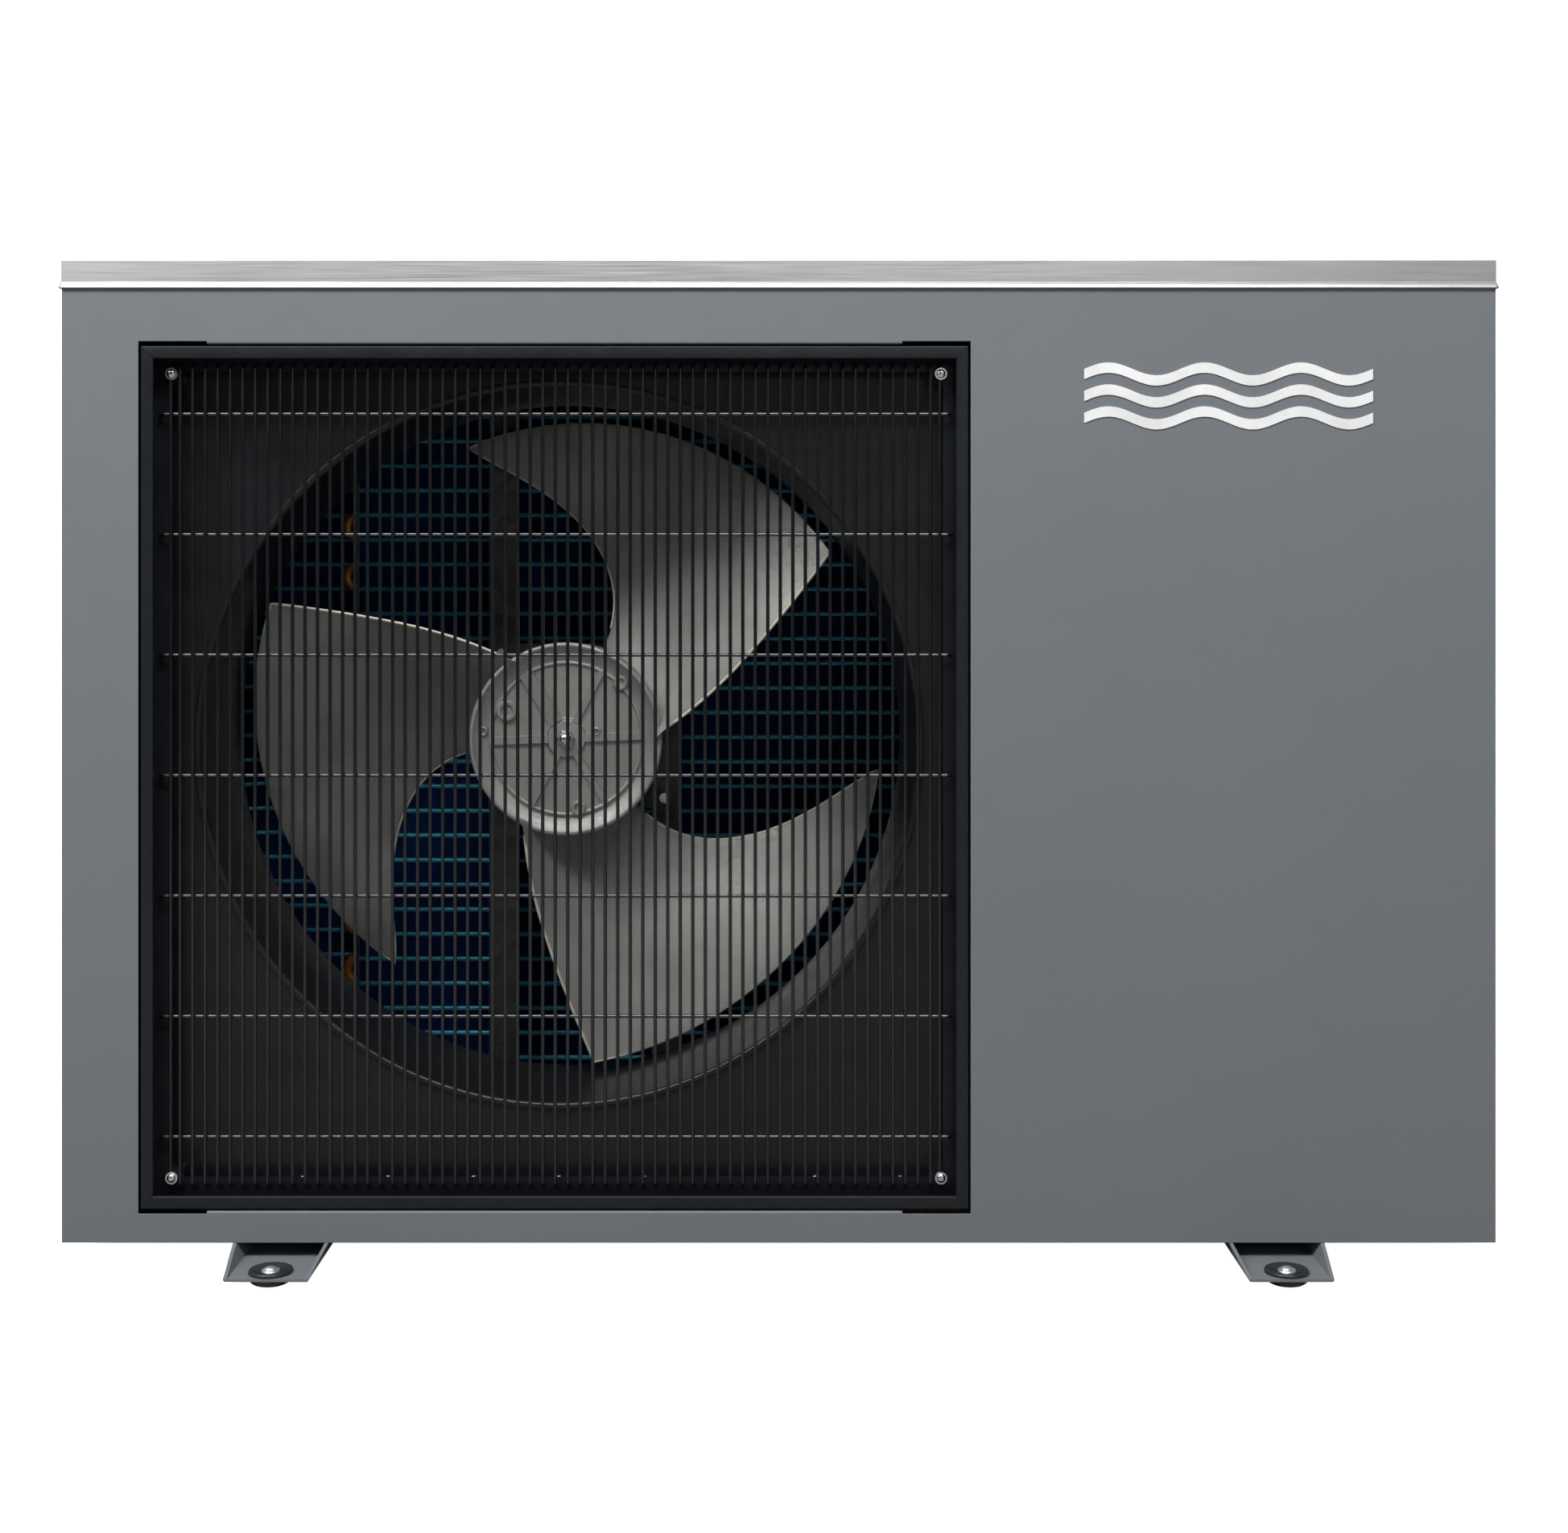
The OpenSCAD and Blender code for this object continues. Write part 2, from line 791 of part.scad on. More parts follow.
// One casting: cup-shaped hub with a ribbed face, and the blades
module fan() {
    color(c_cast)
        translate([fan_x, 0, fan_z]) {
            difference() {
                union() {
                    rod_y(0, 0, [hub_front, hub_back], hub_r);
                    rod_y(0, 0, [hub_front - 4, hub_front + 1], 16);
                }
                difference() {
                    rod_y(0, 0, [hub_front + 7, hub_back + 1], hub_r - 5);
                    rod_y(0, 0, [hub_front, hub_front + 16], 15);
                }
                rod_y(0, 0, [hub_front - 6, hub_back], shaft_r + 0.01);
            }
            for (i = [0:blade_count - 1])
                rotate([0, -360 * i / blade_count, 0])
                    blade();
        }
}

module fan_washer() {
    color(c_steel)
        difference() {
            rod_y(fan_x, fan_z, [nut_y, nut_y + 2], 11);
            rod_y(fan_x, fan_z, [nut_y - 1, nut_y + 3], stud_r + 0.02);
        }
}

module fan_nut() {
    color(c_steel)
        difference() {
            union() {
                hex_y(fan_x, fan_z, [nut_y - 7, nut_y], 13);
                rod_y(fan_x, fan_z, [nut_y - 11, nut_y - 6.9], 5.5);
            }
            rod_y(fan_x, fan_z, [nut_y - 9.5, nut_y + 1], stud_r + 0.02);
        }
}

// ---------------------------------------------------------------- coil

module coil_inner_row() {
    color(c_fin)
        slab([inner_left, coil_right], [coil_y, coil_y + fin_t], coil_z);
}

// Outer row: straight across the rear, round the corner and along the left side
module coil_outer_row() {
    centre_x = leg_x + fin_t + coil_bend;
    centre_y = outer_y - coil_bend;
    color(c_fin) {
        slab([centre_x, coil_right], [outer_y, outer_y + fin_t], coil_z);
        slab([leg_x, leg_x + fin_t], [leg_end, centre_y], coil_z);
        translate([centre_x, centre_y, coil_z[0]])
            rotate([0, 0, 90])
                rotate_extrude(angle = 90)
                    translate([coil_bend, 0])
                        square([fin_t, coil_z[1] - coil_z[0]]);
    }
}

// Tube sheets at the ends of the rows, standing on the base pan
module coil_end_plates() {
    color(c_zinc) {
        slab([coil_right, coil_right + coil_sheet], [coil_y - 2, outer_y + fin_t + 2],
             [floor_z, coil_z[1] + 6]);
        slab([inner_left - coil_sheet, inner_left], [coil_y - 1, coil_y + fin_t],
             [floor_z, coil_z[1] + 4]);
        slab([leg_x - 1, leg_x + fin_t + 1], [leg_end - coil_sheet, leg_end],
             [floor_z, coil_z[1] + 6]);
    }
}

// Half-ring of tube that joins two neighbouring rows; opens towards +X
module hairpin() {
    translate([0, 0, tube_pitch / 2])
        rotate([90, 0, 0])
            rotate([0, 0, 90])
                rotate_extrude(angle = 180)
                    translate([tube_pitch / 2, 0])
                        circle(r = tube_r);
}

module return_bends() {
    pairs = (tube_rows - 1) / 2;
    mid = fin_t / 2;
    color(c_copper)
        for (i = [0:pairs - 1]) {
            high = row_z0 + tube_pitch * (2 * i + 1);
            low = row_z0 + tube_pitch * 2 * i;
            translate([inner_left - coil_sheet, coil_y + mid, high])
                hairpin();
            translate([leg_x + mid, leg_end - coil_sheet, high])
                rotate([0, 0, 90])
                    hairpin();
            translate([coil_right + coil_sheet, coil_y + mid, low])
                mirror([1, 0, 0])
                    hairpin();
        }
}

header_r = 9;
header_stubs = 10;

module gas_header() {
    step = (tube_rows - 1) / header_stubs;
    y = header[1];
    color(c_copper) {
        rod_z(header[0], y, [row_z0 - 15, row_z0 + tube_pitch * (tube_rows - 1) + 15], header_r);
        for (i = [0:header_stubs])
            rod_x(y, row_z0 + tube_pitch * step * i, [coil_right + coil_sheet, header[0] - 5], tube_r);
    }
}

// Brass distributor with thin feeders that rise to the inner row, the shortest nearest the coil
module liquid_distributor() {
    body_r = 10;
    feeder_r = 1.6;
    feeders = 4;
    top = liquid_z + 20;
    entry_y = coil_y + 3;
    color(c_brass)
        rod_z(header[0], metering[1], [liquid_z - 14, top], body_r);
    color(c_copper)
        for (i = [0:feeders - 1]) {
            x = header[0] + (i % 2 == 0 ? -3 : 3);
            y = metering[1] + 4 - 3 * i;
            z = top + 40 + 70 * i;
            tube_along([[x, y, top], [x, y, z], [x, entry_y, z], [coil_right + coil_sheet, entry_y, z]],
                       feeder_r, 4, 8);
        }
}

// ---------------------------------------------------------------- refrigerant side

grommet_top = 46;

module compressor() {
    color(c_black) {
        rod_z(comp[0], comp[1], [58, 330], comp_r);
        translate([comp[0], comp[1], 330])
            cylinder(h = 14, r1 = comp_r, r2 = comp_r - 14);
        translate([comp[0], comp[1], grommet_top + 3])
            cylinder(h = 9.01, r1 = comp_r - 9, r2 = comp_r);
        translate([0, 0, grommet_top])
            linear_extrude(3.01)
                difference() {
                    union() {
                        polygon(comp_ears);
                        for (place = comp_ears)
                            translate(place)
                                circle(r = 16);
                        translate(comp)
                            circle(r = comp_r - 2);
                    }
                    for (place = comp_ears)
                        translate(place)
                            circle(r = 8);
                }
    }
}

// Rubber mounts: a wide foot on the pan and a neck through the compressor's ear
module compressor_grommets() {
    color(c_rubber)
        for (place = comp_ears)
            translate([place[0], place[1], 0])
                difference() {
                    union() {
                        rod_z(0, 0, [floor_z, grommet_top], 14);
                        rod_z(0, 0, [grommet_top - 0.01, grommet_top + 4], 7.9);
                    }
                    rod_z(0, 0, [floor_z - 1, grommet_top + 5], 4.2);
                }
}

// Studs that rise from the pan, each with a washer and a nut
module compressor_nuts() {
    top = grommet_top + 4;
    color(c_steel)
        for (place = comp_ears)
            translate([place[0], place[1], 0]) {
                rod_z(0, 0, [floor_z, top + 12], 4);
                rod_z(0, 0, [top, top + 1.6], 12);
                hex_z(0, 0, [top + 1.59, top + 8], 13);
            }
}

module terminal_cover() {
    color(c_black)
        translate([comp[0] - 28, comp[1], 344]) {
            rod_z(0, 0, [0, 22], 15);
            slab([-8, 8], [-20, 0], [0, 14]);
        }
}

module accumulator() {
    color(c_black) {
        rod_z(acc[0], acc[1], [132, 318], acc_r);
        for (z = [132, 318])
            translate([acc[0], acc[1], z])
                mirror([0, 0, z == 132 ? 1 : 0])
                    cylinder(h = 14, r1 = acc_r, r2 = 12);
    }
    color(c_copper)
        tube_along([[acc[0], acc[1], 118], [acc[0], acc[1], 98], [comp[0] + comp_r, comp[1], 98]], 7, 14);
}

valve_ports = [-30, 0, 30];

module four_way_valve() {
    color(c_brass) {
        rod_x(comp[1], valve_z, [comp[0] - 65, comp[0] + 65], valve_r);
        rod_z(comp[0], comp[1], [valve_z - valve_r - 8, valve_z], 8.5);
        for (x = valve_ports)
            rod_z(comp[0] + x, comp[1], [valve_z, valve_z + valve_r + 6], 10);
    }
}

module valve_solenoid() {
    y = comp[1] - valve_r;
    color(c_black)
        slab([comp[0] - 20, comp[0] + 20], [y - 36, y], [valve_z - 16, valve_z + 16]);
}

module expansion_valve() {
    x = metering[0];
    y = metering[1];
    color(c_brass) {
        rod_z(x, y, [300, 334], 12);
        rod_x(y, liquid_z, [x - 26, x], 8);
    }
    color(c_black)
        rod_z(x, y, [334, 372], 19);
}

module filter_drier() {
    x = metering[0];
    y = metering[1];
    color(c_copper) {
        rod_z(x, y, [162, 258], 20);
        translate([x, y, 258])
            cylinder(h = 12, r1 = 20, r2 = 8);
        translate([x, y, 150])
            cylinder(h = 12, r1 = 8, r2 = 20);
    }
}

module discharge_pipe() {
    color(c_copper)
        rod_z(comp[0], comp[1], [344, valve_z - valve_r - 8], 6.35);
}

module suction_pipe() {
    top = valve_z + valve_r + 6;
    color(c_copper)
        tube_along([
            [comp[0], comp[1], top],
            [comp[0], comp[1], top + 44],
            [acc[0], acc[1], top + 44],
            [acc[0], acc[1], 332]
        ], 8, 20);
}

// From the reversing valve to the coil's header and to the water exchanger
module gas_pipes() {
    top = valve_z + valve_r + 6;
    left = comp[0] + valve_ports[0];
    right = comp[0] + valve_ports[2];
    color(c_copper) {
        tube_along([
            [left, comp[1], top],
            [left, comp[1], gas_z],
            [left, header[1], gas_z],
            [header[0] + header_r, header[1], gas_z]
        ], 7, 20);
        tube_along([
            [right, comp[1], top],
            [right, comp[1], top + 16],
            [right, exch[1], top + 16],
            [exch[0] - exch_r - 0.1, exch[1], top + 16]
        ], 7, 15);
    }
}

// From the exchanger through the drier and the expansion valve to the distributor
module liquid_pipes() {
    x = metering[0];
    y = metering[1];
    color(c_copper) {
        tube_along([
            [exch[0] - exch_r - 0.1, exch[1], 110],
            [x + 60, exch[1], 110],
            [x + 60, y, 110],
            [x, y, 110],
            [x, y, 150]
        ], 5, 12);
        rod_z(x, y, [270, 300], 5);
        rod_x(y, liquid_z, [header[0] + 10, x - 26], 5);
    }
}

// ---------------------------------------------------------------- water side

exch_face = exch[1] + exch_r + 2;

// Moulded shell round the titanium coil, with two bosses to the rear
module water_exchanger() {
    color(c_black)
        difference() {
            union() {
                rod_z(exch[0], exch[1], [floor_z, exch_top - 20], exch_r);
                rod_z(exch[0], exch[1], [exch_top - 20.01, exch_top], exch_r + 8);
                for (z = [inlet_z, outlet_z])
                    rod_y(exch[0], z, [exch[1], exch_face], port_bore_r + 9);
            }
            for (z = [inlet_z, outlet_z])
                rod_y(exch[0], z, [exch[1] + 40, exch_face + 1], port_bore_r);
        }
}

port_r = port_bore_r + 5;
port_end = half_d + 30;
collar_r = port_r + 7.5;
union_bore = collar_r + 1.5;

// Water connection: a tube through the rear panel with a wall flange and an end collar
module water_port(z) {
    difference() {
        union() {
            rod_y(port_x, z, [exch_face, port_end], port_r);
            rod_y(port_x, z, [half_d, half_d + 4], port_r + 12);
            rod_y(port_x, z, [port_end - 6, port_end], collar_r);
        }
        rod_y(port_x, z, [exch_face - 1, port_end + 1], port_bore_r);
    }
}

module water_inlet() { color(c_black) water_port(inlet_z); }

module water_outlet() { color(c_black) water_port(outlet_z); }

// Captive union nut: turns on the port's tube and is held by the collar
module union_nut(z) {
    start = half_d + 10;
    lip_end = port_end - 8;
    nut_end = half_d + 48;
    difference() {
        union() {
            rod_y(port_x, z, [start, nut_end], union_bore + 6);
            translate([port_x, 0, z])
                for (i = [0:7])
                    rotate([0, 45 * i, 0])
                        slab([-6, 6], [start + 4, nut_end - 4], [0, union_bore + 9]);
        }
        rod_y(port_x, z, [start - 1, nut_end + 1], port_r + run_gap);
        rod_y(port_x, z, [lip_end, nut_end + 1], union_bore);
    }
}

module water_inlet_nut() { color("royalblue") union_nut(inlet_z); }

module water_outlet_nut() { color("firebrick") union_nut(outlet_z); }

module flow_switch() {
    y = exch[1] + 50;
    color(c_brass)
        hex_z(exch[0], y, [exch_top, exch_top + 12], 27);
    color(c_black)
        rod_z(exch[0], y, [exch_top + 12, exch_top + 48], 16);
}

// ---------------------------------------------------------------- electrics and trim

tray_x = [part_x + sheet, 545];
tray_y = [-190, 60];
tray_z = [575, 670];

module electrical_box() {
    color(c_zinc)
        difference() {
            slab(tray_x, tray_y, tray_z);
            slab([tray_x[0] + sheet, tray_x[1] - sheet], [tray_y[0] + sheet, tray_y[1] - sheet],
                 [tray_z[0] + sheet, tray_z[1] + 1]);
        }
}

module control_board() {
    board_z = tray_z[0] + 8;
    color("seagreen")
        slab([tray_x[0] + 20, tray_x[1] - 110], [tray_y[0] + 20, tray_y[1] - 20],
             [board_z, board_z + 1.6]);
    color(c_white)
        for (x = [tray_x[0] + 30, tray_x[0] + 190], y = [tray_y[0] + 30, tray_y[1] - 30])
            rod_z(x, y, [tray_z[0] + sheet, board_z], 4);
    color(c_black)
        for (i = [0:3])
            rod_z(tray_x[0] + 60 + 45 * i, tray_y[0] + 70, [board_z + 1.6, board_z + 42], 15);
    color(c_steel)
        slab([tray_x[0] + 50, tray_x[0] + 210], [-60, 0], [board_z + 1.6, board_z + 30]);
}

module terminal_block() {
    x = tray_x[1] - 80;
    base = tray_z[0] + sheet;
    color(c_white)
        slab([x, x + 35], [-150, 20], [base, base + 24]);
    color(c_brass)
        for (i = [0:5])
            rod_z(x + 17, -135 + 28 * i, [base + 24, base + 27], 5);
}

module cable_gland() {
    color(c_black)
        difference() {
            union() {
                hex_y(gland[0], gland[1], [half_d - sheet - 5, half_d - sheet], 25);
                rod_y(gland[0], gland[1], [half_d - sheet - 0.01, half_d + 0.01], 10);
                hex_y(gland[0], gland[1], [half_d, half_d + 8], 25);
                rod_y(gland[0], gland[1], [half_d + 7.99, half_d + 24], 11);
            }
            rod_y(gland[0], gland[1], [half_d - 10, half_d + 25], 6.5);
        }
}

// Condensate outlet under the pan
module drain_spigot() {
    color(c_black)
        difference() {
            union() {
                rod_z(drain[0], drain[1], [casing_z - 3, casing_z], 22);
                rod_z(drain[0], drain[1], [casing_z - 0.01, floor_z + 2], 9.9);
                rod_z(drain[0], drain[1], [2, casing_z - 2.99], 9);
            }
            rod_z(drain[0], drain[1], [1, floor_z + 3], 6.5);
        }
}

// Plain trim: three wavy stripes
badge_x = 349;
badge_z = 677;
stripe_len = 224;
stripe_w = 8;
wave_h = 5;

module badge() {
    steps = 56;
    color(c_white)
        for (i = [-1:1])
            translate([badge_x - stripe_len / 2, front, badge_z + 17 * i])
                rotate([90, 0, 0])
                    linear_extrude(0.8)
                        polygon(concat(
                            [for (k = [0:steps])
                                [stripe_len * k / steps, wave_h * sin(1080 * k / steps) - stripe_w / 2]],
                            [for (k = [steps:-1:0])
                                [stripe_len * k / steps, wave_h * sin(1080 * k / steps) + stripe_w / 2]]
                        ));
}

// ---------------------------------------------------------------- nodes

base_pan();
foot_rail_left();
foot_rail_right();
rubber_feet();
foot_inserts();
foot_bolts();
front_panel();
left_panel();
right_panel();
rear_panel();
top_lid();
casing_screws();
grille_frame();
guard_wires();
guard_crossbars();
grille_screws();
fan_shroud();
shroud_screws();
rear_guard();
left_guard();
partition();
motor_rails();
motor_plate();
fan_motor();
motor_screws();
fan_shaft();
fan();
fan_washer();
fan_nut();
coil_inner_row();
coil_outer_row();
coil_end_plates();
return_bends();
gas_header();
liquid_distributor();
compressor();
compressor_grommets();
compressor_nuts();
terminal_cover();
accumulator();
four_way_valve();
valve_solenoid();
expansion_valve();
filter_drier();
discharge_pipe();
suction_pipe();
gas_pipes();
liquid_pipes();
water_exchanger();
water_inlet();
water_outlet();
water_inlet_nut();
water_outlet_nut();
flow_switch();
electrical_box();
control_board();
terminal_block();
cable_gland();
drain_spigot();
badge();
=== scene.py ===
"""Looks of the heat pump unit: materials, detailed pieces round the CAD frame, light and camera."""
import math

import bmesh
import bpy
from mathutils import Matrix, Vector


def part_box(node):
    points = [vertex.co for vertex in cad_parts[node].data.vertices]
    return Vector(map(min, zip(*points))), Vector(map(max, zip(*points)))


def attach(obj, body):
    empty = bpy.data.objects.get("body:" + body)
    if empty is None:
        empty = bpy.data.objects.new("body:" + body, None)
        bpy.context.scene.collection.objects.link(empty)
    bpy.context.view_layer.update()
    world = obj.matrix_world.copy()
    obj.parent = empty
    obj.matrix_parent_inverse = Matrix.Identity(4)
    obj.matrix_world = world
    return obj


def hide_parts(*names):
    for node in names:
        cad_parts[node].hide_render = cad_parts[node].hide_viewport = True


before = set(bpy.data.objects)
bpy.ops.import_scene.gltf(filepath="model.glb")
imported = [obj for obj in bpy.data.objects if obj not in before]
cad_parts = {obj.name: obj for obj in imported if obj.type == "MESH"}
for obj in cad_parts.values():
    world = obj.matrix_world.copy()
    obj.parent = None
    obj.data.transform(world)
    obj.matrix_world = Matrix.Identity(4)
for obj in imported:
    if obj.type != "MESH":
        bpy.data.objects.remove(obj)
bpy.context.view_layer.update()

MM = 0.001
TINY = 1e-5  # lengths under this count as none
CASING = "casing"
ROTOR = "fan_rotor"
Z_TO_Y = Matrix.Rotation(math.radians(-90), 4, "X")


# ---------------------------------------------------------------- shapes


def joined(shapes):
    """One (vertices, faces) pair from several."""
    verts, faces = [], []
    for part_verts, part_faces in shapes:
        start = len(verts)
        verts += list(part_verts)
        faces += [[start + i for i in face] for face in part_faces]
    return verts, faces


def placed(shape, matrix):
    """A shape moved by a matrix."""
    verts, faces = shape
    return [tuple(matrix @ Vector(v)) for v in verts], faces


def block(low, high):
    """A box between two opposite corners."""
    (x0, y0, z0), (x1, y1, z1) = low, high
    verts = [(x, y, z) for z in (z0, z1) for y in (y0, y1) for x in (x0, x1)]
    faces = [(0, 2, 3, 1), (4, 5, 7, 6), (0, 1, 5, 4), (2, 6, 7, 3), (0, 4, 6, 2), (1, 3, 7, 5)]
    return verts, faces


def spun(profile, steps=96, closed=False):
    """Revolves (radius, height) points about Z. A zero radius becomes a pole."""
    verts, rings, faces = [], [], []
    for radius, height in profile:
        if radius < TINY:
            rings.append([len(verts)] * steps)
            verts.append((0.0, 0.0, height))
            continue
        rings.append(list(range(len(verts), len(verts) + steps)))
        for k in range(steps):
            turn = 2 * math.pi * k / steps
            verts.append((radius * math.cos(turn), radius * math.sin(turn), height))
    pairs = list(zip(rings, rings[1:] + rings[:1])) if closed else list(zip(rings, rings[1:]))
    for low, high in pairs:
        for k in range(steps):
            n = (k + 1) % steps
            face = []
            for i in (low[k], low[n], high[n], high[k]):
                if i not in face:
                    face.append(i)
            if len(face) > 2:
                faces.append(face)
    return verts, faces


def spun_y(profile, x, z, steps=96, closed=False):
    """Revolves (radius, y) points about the line through x and z along Y."""
    return placed(spun(profile, steps, closed), Matrix.Translation((x, 0, z)) @ Z_TO_Y)


def swept(path, radius, sides=16):
    """A round rod along a list of points."""
    points = [Vector(p) for p in path]
    verts, faces = [], []
    side = Vector((0.3, 0.5, 0.81))  # slanted, so that no path runs along it
    for i, point in enumerate(points):
        along = (points[min(i + 1, len(points) - 1)] - points[max(i - 1, 0)]).normalized()
        side = (side - side.dot(along) * along).normalized()
        other = along.cross(side)
        for k in range(sides):
            turn = 2 * math.pi * k / sides
            verts.append(tuple(point + radius * (side * math.cos(turn) + other * math.sin(turn))))
    for i in range(len(points) - 1):
        for k in range(sides):
            a, b = i * sides + k, i * sides + (k + 1) % sides
            faces.append((a, b, b + sides, a + sides))
    faces.append(list(range(sides))[::-1])
    faces.append([(len(points) - 1) * sides + k for k in range(sides)])
    return verts, faces


def round_rectangle(half_w, half_h, radius, steps=6):
    """Points of a rectangle with round corners, counter-clockwise."""
    points = []
    for quarter, (sx, sy) in enumerate([(1, 1), (-1, 1), (-1, -1), (1, -1)]):
        for k in range(steps + 1):
            turn = math.radians(90 * (quarter + k / steps))
            points.append((
                sx * (half_w - radius) + radius * math.cos(turn),
                sy * (half_h - radius) + radius * math.sin(turn),
            ))
    return points


def ring_of_loops(loops, closed):
    """Quads between loops of equally many points."""
    verts = [p for loop in loops for p in loop]
    n = len(loops[0])
    faces = []
    last = len(loops) if closed else len(loops) - 1
    for i in range(last):
        a, b = i * n, ((i + 1) % len(loops)) * n
        for k in range(n):
            faces.append((a + k, a + (k + 1) % n, b + (k + 1) % n, b + k))
    return verts, faces


def arc(x, y, radius, start, end, steps=6):
    """Points of a circular arc, angles in degrees."""
    angles = [math.radians(start + (end - start) * k / steps) for k in range(steps + 1)]
    return [(x + radius * math.cos(a), y + radius * math.sin(a)) for a in angles]


def dome(radius, base, height):
    """(radius, height) points of a dome's outline, without its rim and its pole."""
    angles = [math.radians(10 * k) for k in range(1, 9)]
    return [(radius * math.cos(a), base + height * math.sin(a)) for a in angles]


def centre_xz(node):
    """Middle of a CAD node's box, as x and z."""
    low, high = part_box(node)
    return (low.x + high.x) / 2, (low.z + high.z) / 2


# ---------------------------------------------------------------- pieces


def new_object(name, data):
    """Makes an object and links it to the scene."""
    made = bpy.data.objects.new(name, data)
    bpy.context.scene.collection.objects.link(made)
    return made


def add_piece(name, shape, material, body=CASING, stands_for=(), sharp=35):
    """Makes a mesh piece, shades it and hangs it on its CAD body.

    Edges that turn by more than sharp, in degrees, are shaded hard.
    """
    verts, faces = shape
    mesh = bpy.data.meshes.new(name)
    mesh.from_pydata([tuple(v) for v in verts], [], [tuple(f) for f in faces])
    work = bmesh.new()
    work.from_mesh(mesh)
    bmesh.ops.recalc_face_normals(work, faces=work.faces)
    work.to_mesh(mesh)
    work.free()
    mesh.materials.append(material)
    mesh.shade_smooth()
    mesh.set_sharp_from_angle(angle=math.radians(sharp))
    piece = new_object(name, mesh)
    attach(piece, body)
    if stands_for:
        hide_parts(*stands_for)


# ---------------------------------------------------------------- materials


def new_material(name, color, roughness, metallic=0.0):
    """A Principled material and the handles to add detail to it."""
    material = bpy.data.materials.new(name)
    material.use_nodes = True
    tree = material.node_tree
    shader = tree.nodes["Principled BSDF"]
    shader.inputs["Base Color"].default_value = (*color, 1)
    shader.inputs["Roughness"].default_value = roughness
    shader.inputs["Metallic"].default_value = metallic
    return material, tree, shader


def noise(tree, scale, detail=3.0, stretch=(1, 1, 1)):
    """Noise in the object's own metres; a stretch above 1 makes it finer along that axis."""
    place = tree.nodes.new("ShaderNodeTexCoord")
    mapping = tree.nodes.new("ShaderNodeMapping")
    mapping.inputs["Scale"].default_value = stretch
    texture = tree.nodes.new("ShaderNodeTexNoise")
    texture.inputs["Scale"].default_value = scale
    texture.inputs["Detail"].default_value = detail
    tree.links.new(place.outputs["Object"], mapping.inputs["Vector"])
    tree.links.new(mapping.outputs["Vector"], texture.inputs["Vector"])
    return texture.outputs["Fac"]


def spread(tree, value, low, high):
    """Maps the useful middle of a noise to a range."""
    ramp = tree.nodes.new("ShaderNodeMapRange")
    ramp.inputs["From Min"].default_value = 0.3
    ramp.inputs["From Max"].default_value = 0.7
    ramp.inputs["To Min"].default_value = low
    ramp.inputs["To Max"].default_value = high
    tree.links.new(value, ramp.inputs["Value"])
    return ramp.outputs["Result"]


def mixed(tree, factor, first, second):
    """Mixes two colours by a factor."""
    mix = tree.nodes.new("ShaderNodeMix")
    mix.data_type = "RGBA"
    mix.inputs["A"].default_value = (*first, 1)
    mix.inputs["B"].default_value = (*second, 1)
    tree.links.new(factor, mix.inputs["Factor"])
    return mix.outputs["Result"]


def bumped(tree, shader, height, strength, distance):
    """Turns a value into bump; distance is in metres."""
    bump = tree.nodes.new("ShaderNodeBump")
    bump.inputs["Strength"].default_value = strength
    bump.inputs["Distance"].default_value = distance
    tree.links.new(height, bump.inputs["Height"])
    tree.links.new(bump.outputs["Normal"], shader.inputs["Normal"])


def shade(color, factor):
    """The same colour, darker or lighter."""
    return tuple(min(1.0, c * factor) for c in color)


def tinted(tree, shader, value, color, dark, light):
    """Varies the base colour between two shades of it."""
    tone = mixed(tree, value, shade(color, dark), shade(color, light))
    tree.links.new(tone, shader.inputs["Base Color"])


def roughened(tree, shader, value, low, high):
    """Varies the roughness between two values."""
    tree.links.new(spread(tree, value, low, high), shader.inputs["Roughness"])


def powder_coat(name, color, roughness, grain, strength, variation, gloss=0.5):
    """Sprayed coat: fine grain, slight cloudiness in colour and sheen."""
    material, tree, shader = new_material(name, color, roughness)
    shader.inputs["Specular IOR Level"].default_value = gloss
    cloud = spread(tree, noise(tree, scale=5, detail=4), 0, 1)
    tinted(tree, shader, cloud, color, 1 - variation, 1 + variation)
    sheen = noise(tree, scale=60, detail=3)
    roughened(tree, shader, sheen, roughness - 0.05, roughness + 0.06)
    bumped(tree, shader, noise(tree, grain, detail=2), strength, 0.3 * MM)
    return material


def guard_coat(name, roughness, ior):
    """Thick black gloss of the guard's wires; a high index gives their bright streaks."""
    material = powder_coat(name, (0.008, 0.009, 0.011), roughness,
                           grain=900, strength=0.01, variation=0.1)
    material.node_tree.nodes["Principled BSDF"].inputs["IOR"].default_value = ior
    return material


def brushed_metal(name, color, roughness=0.4):
    """Metal with fine lines along X."""
    material, tree, shader = new_material(name, color, roughness, metallic=1.0)
    lines = noise(tree, scale=160, detail=4, stretch=(0.08, 25, 25))
    tinted(tree, shader, spread(tree, lines, 0, 1), color, 0.88, 1.08)
    roughened(tree, shader, lines, roughness - 0.07, roughness + 0.1)
    bumped(tree, shader, lines, 0.05, 0.1 * MM)
    return material


def plain_metal(name, color, roughness, variation=0.1, scale=90, metallic=1.0):
    """Turned, plated or lacquered metal with faint stains."""
    material, tree, shader = new_material(name, color, roughness, metallic)
    stains = noise(tree, scale, detail=5)
    tinted(tree, shader, spread(tree, stains, 0, 1), color, 1 - variation, 1 + variation)
    roughened(tree, shader, stains, roughness - 0.05, roughness + 0.12)
    bumped(tree, shader, noise(tree, scale=900, detail=2), 0.05, 0.2 * MM)
    return material


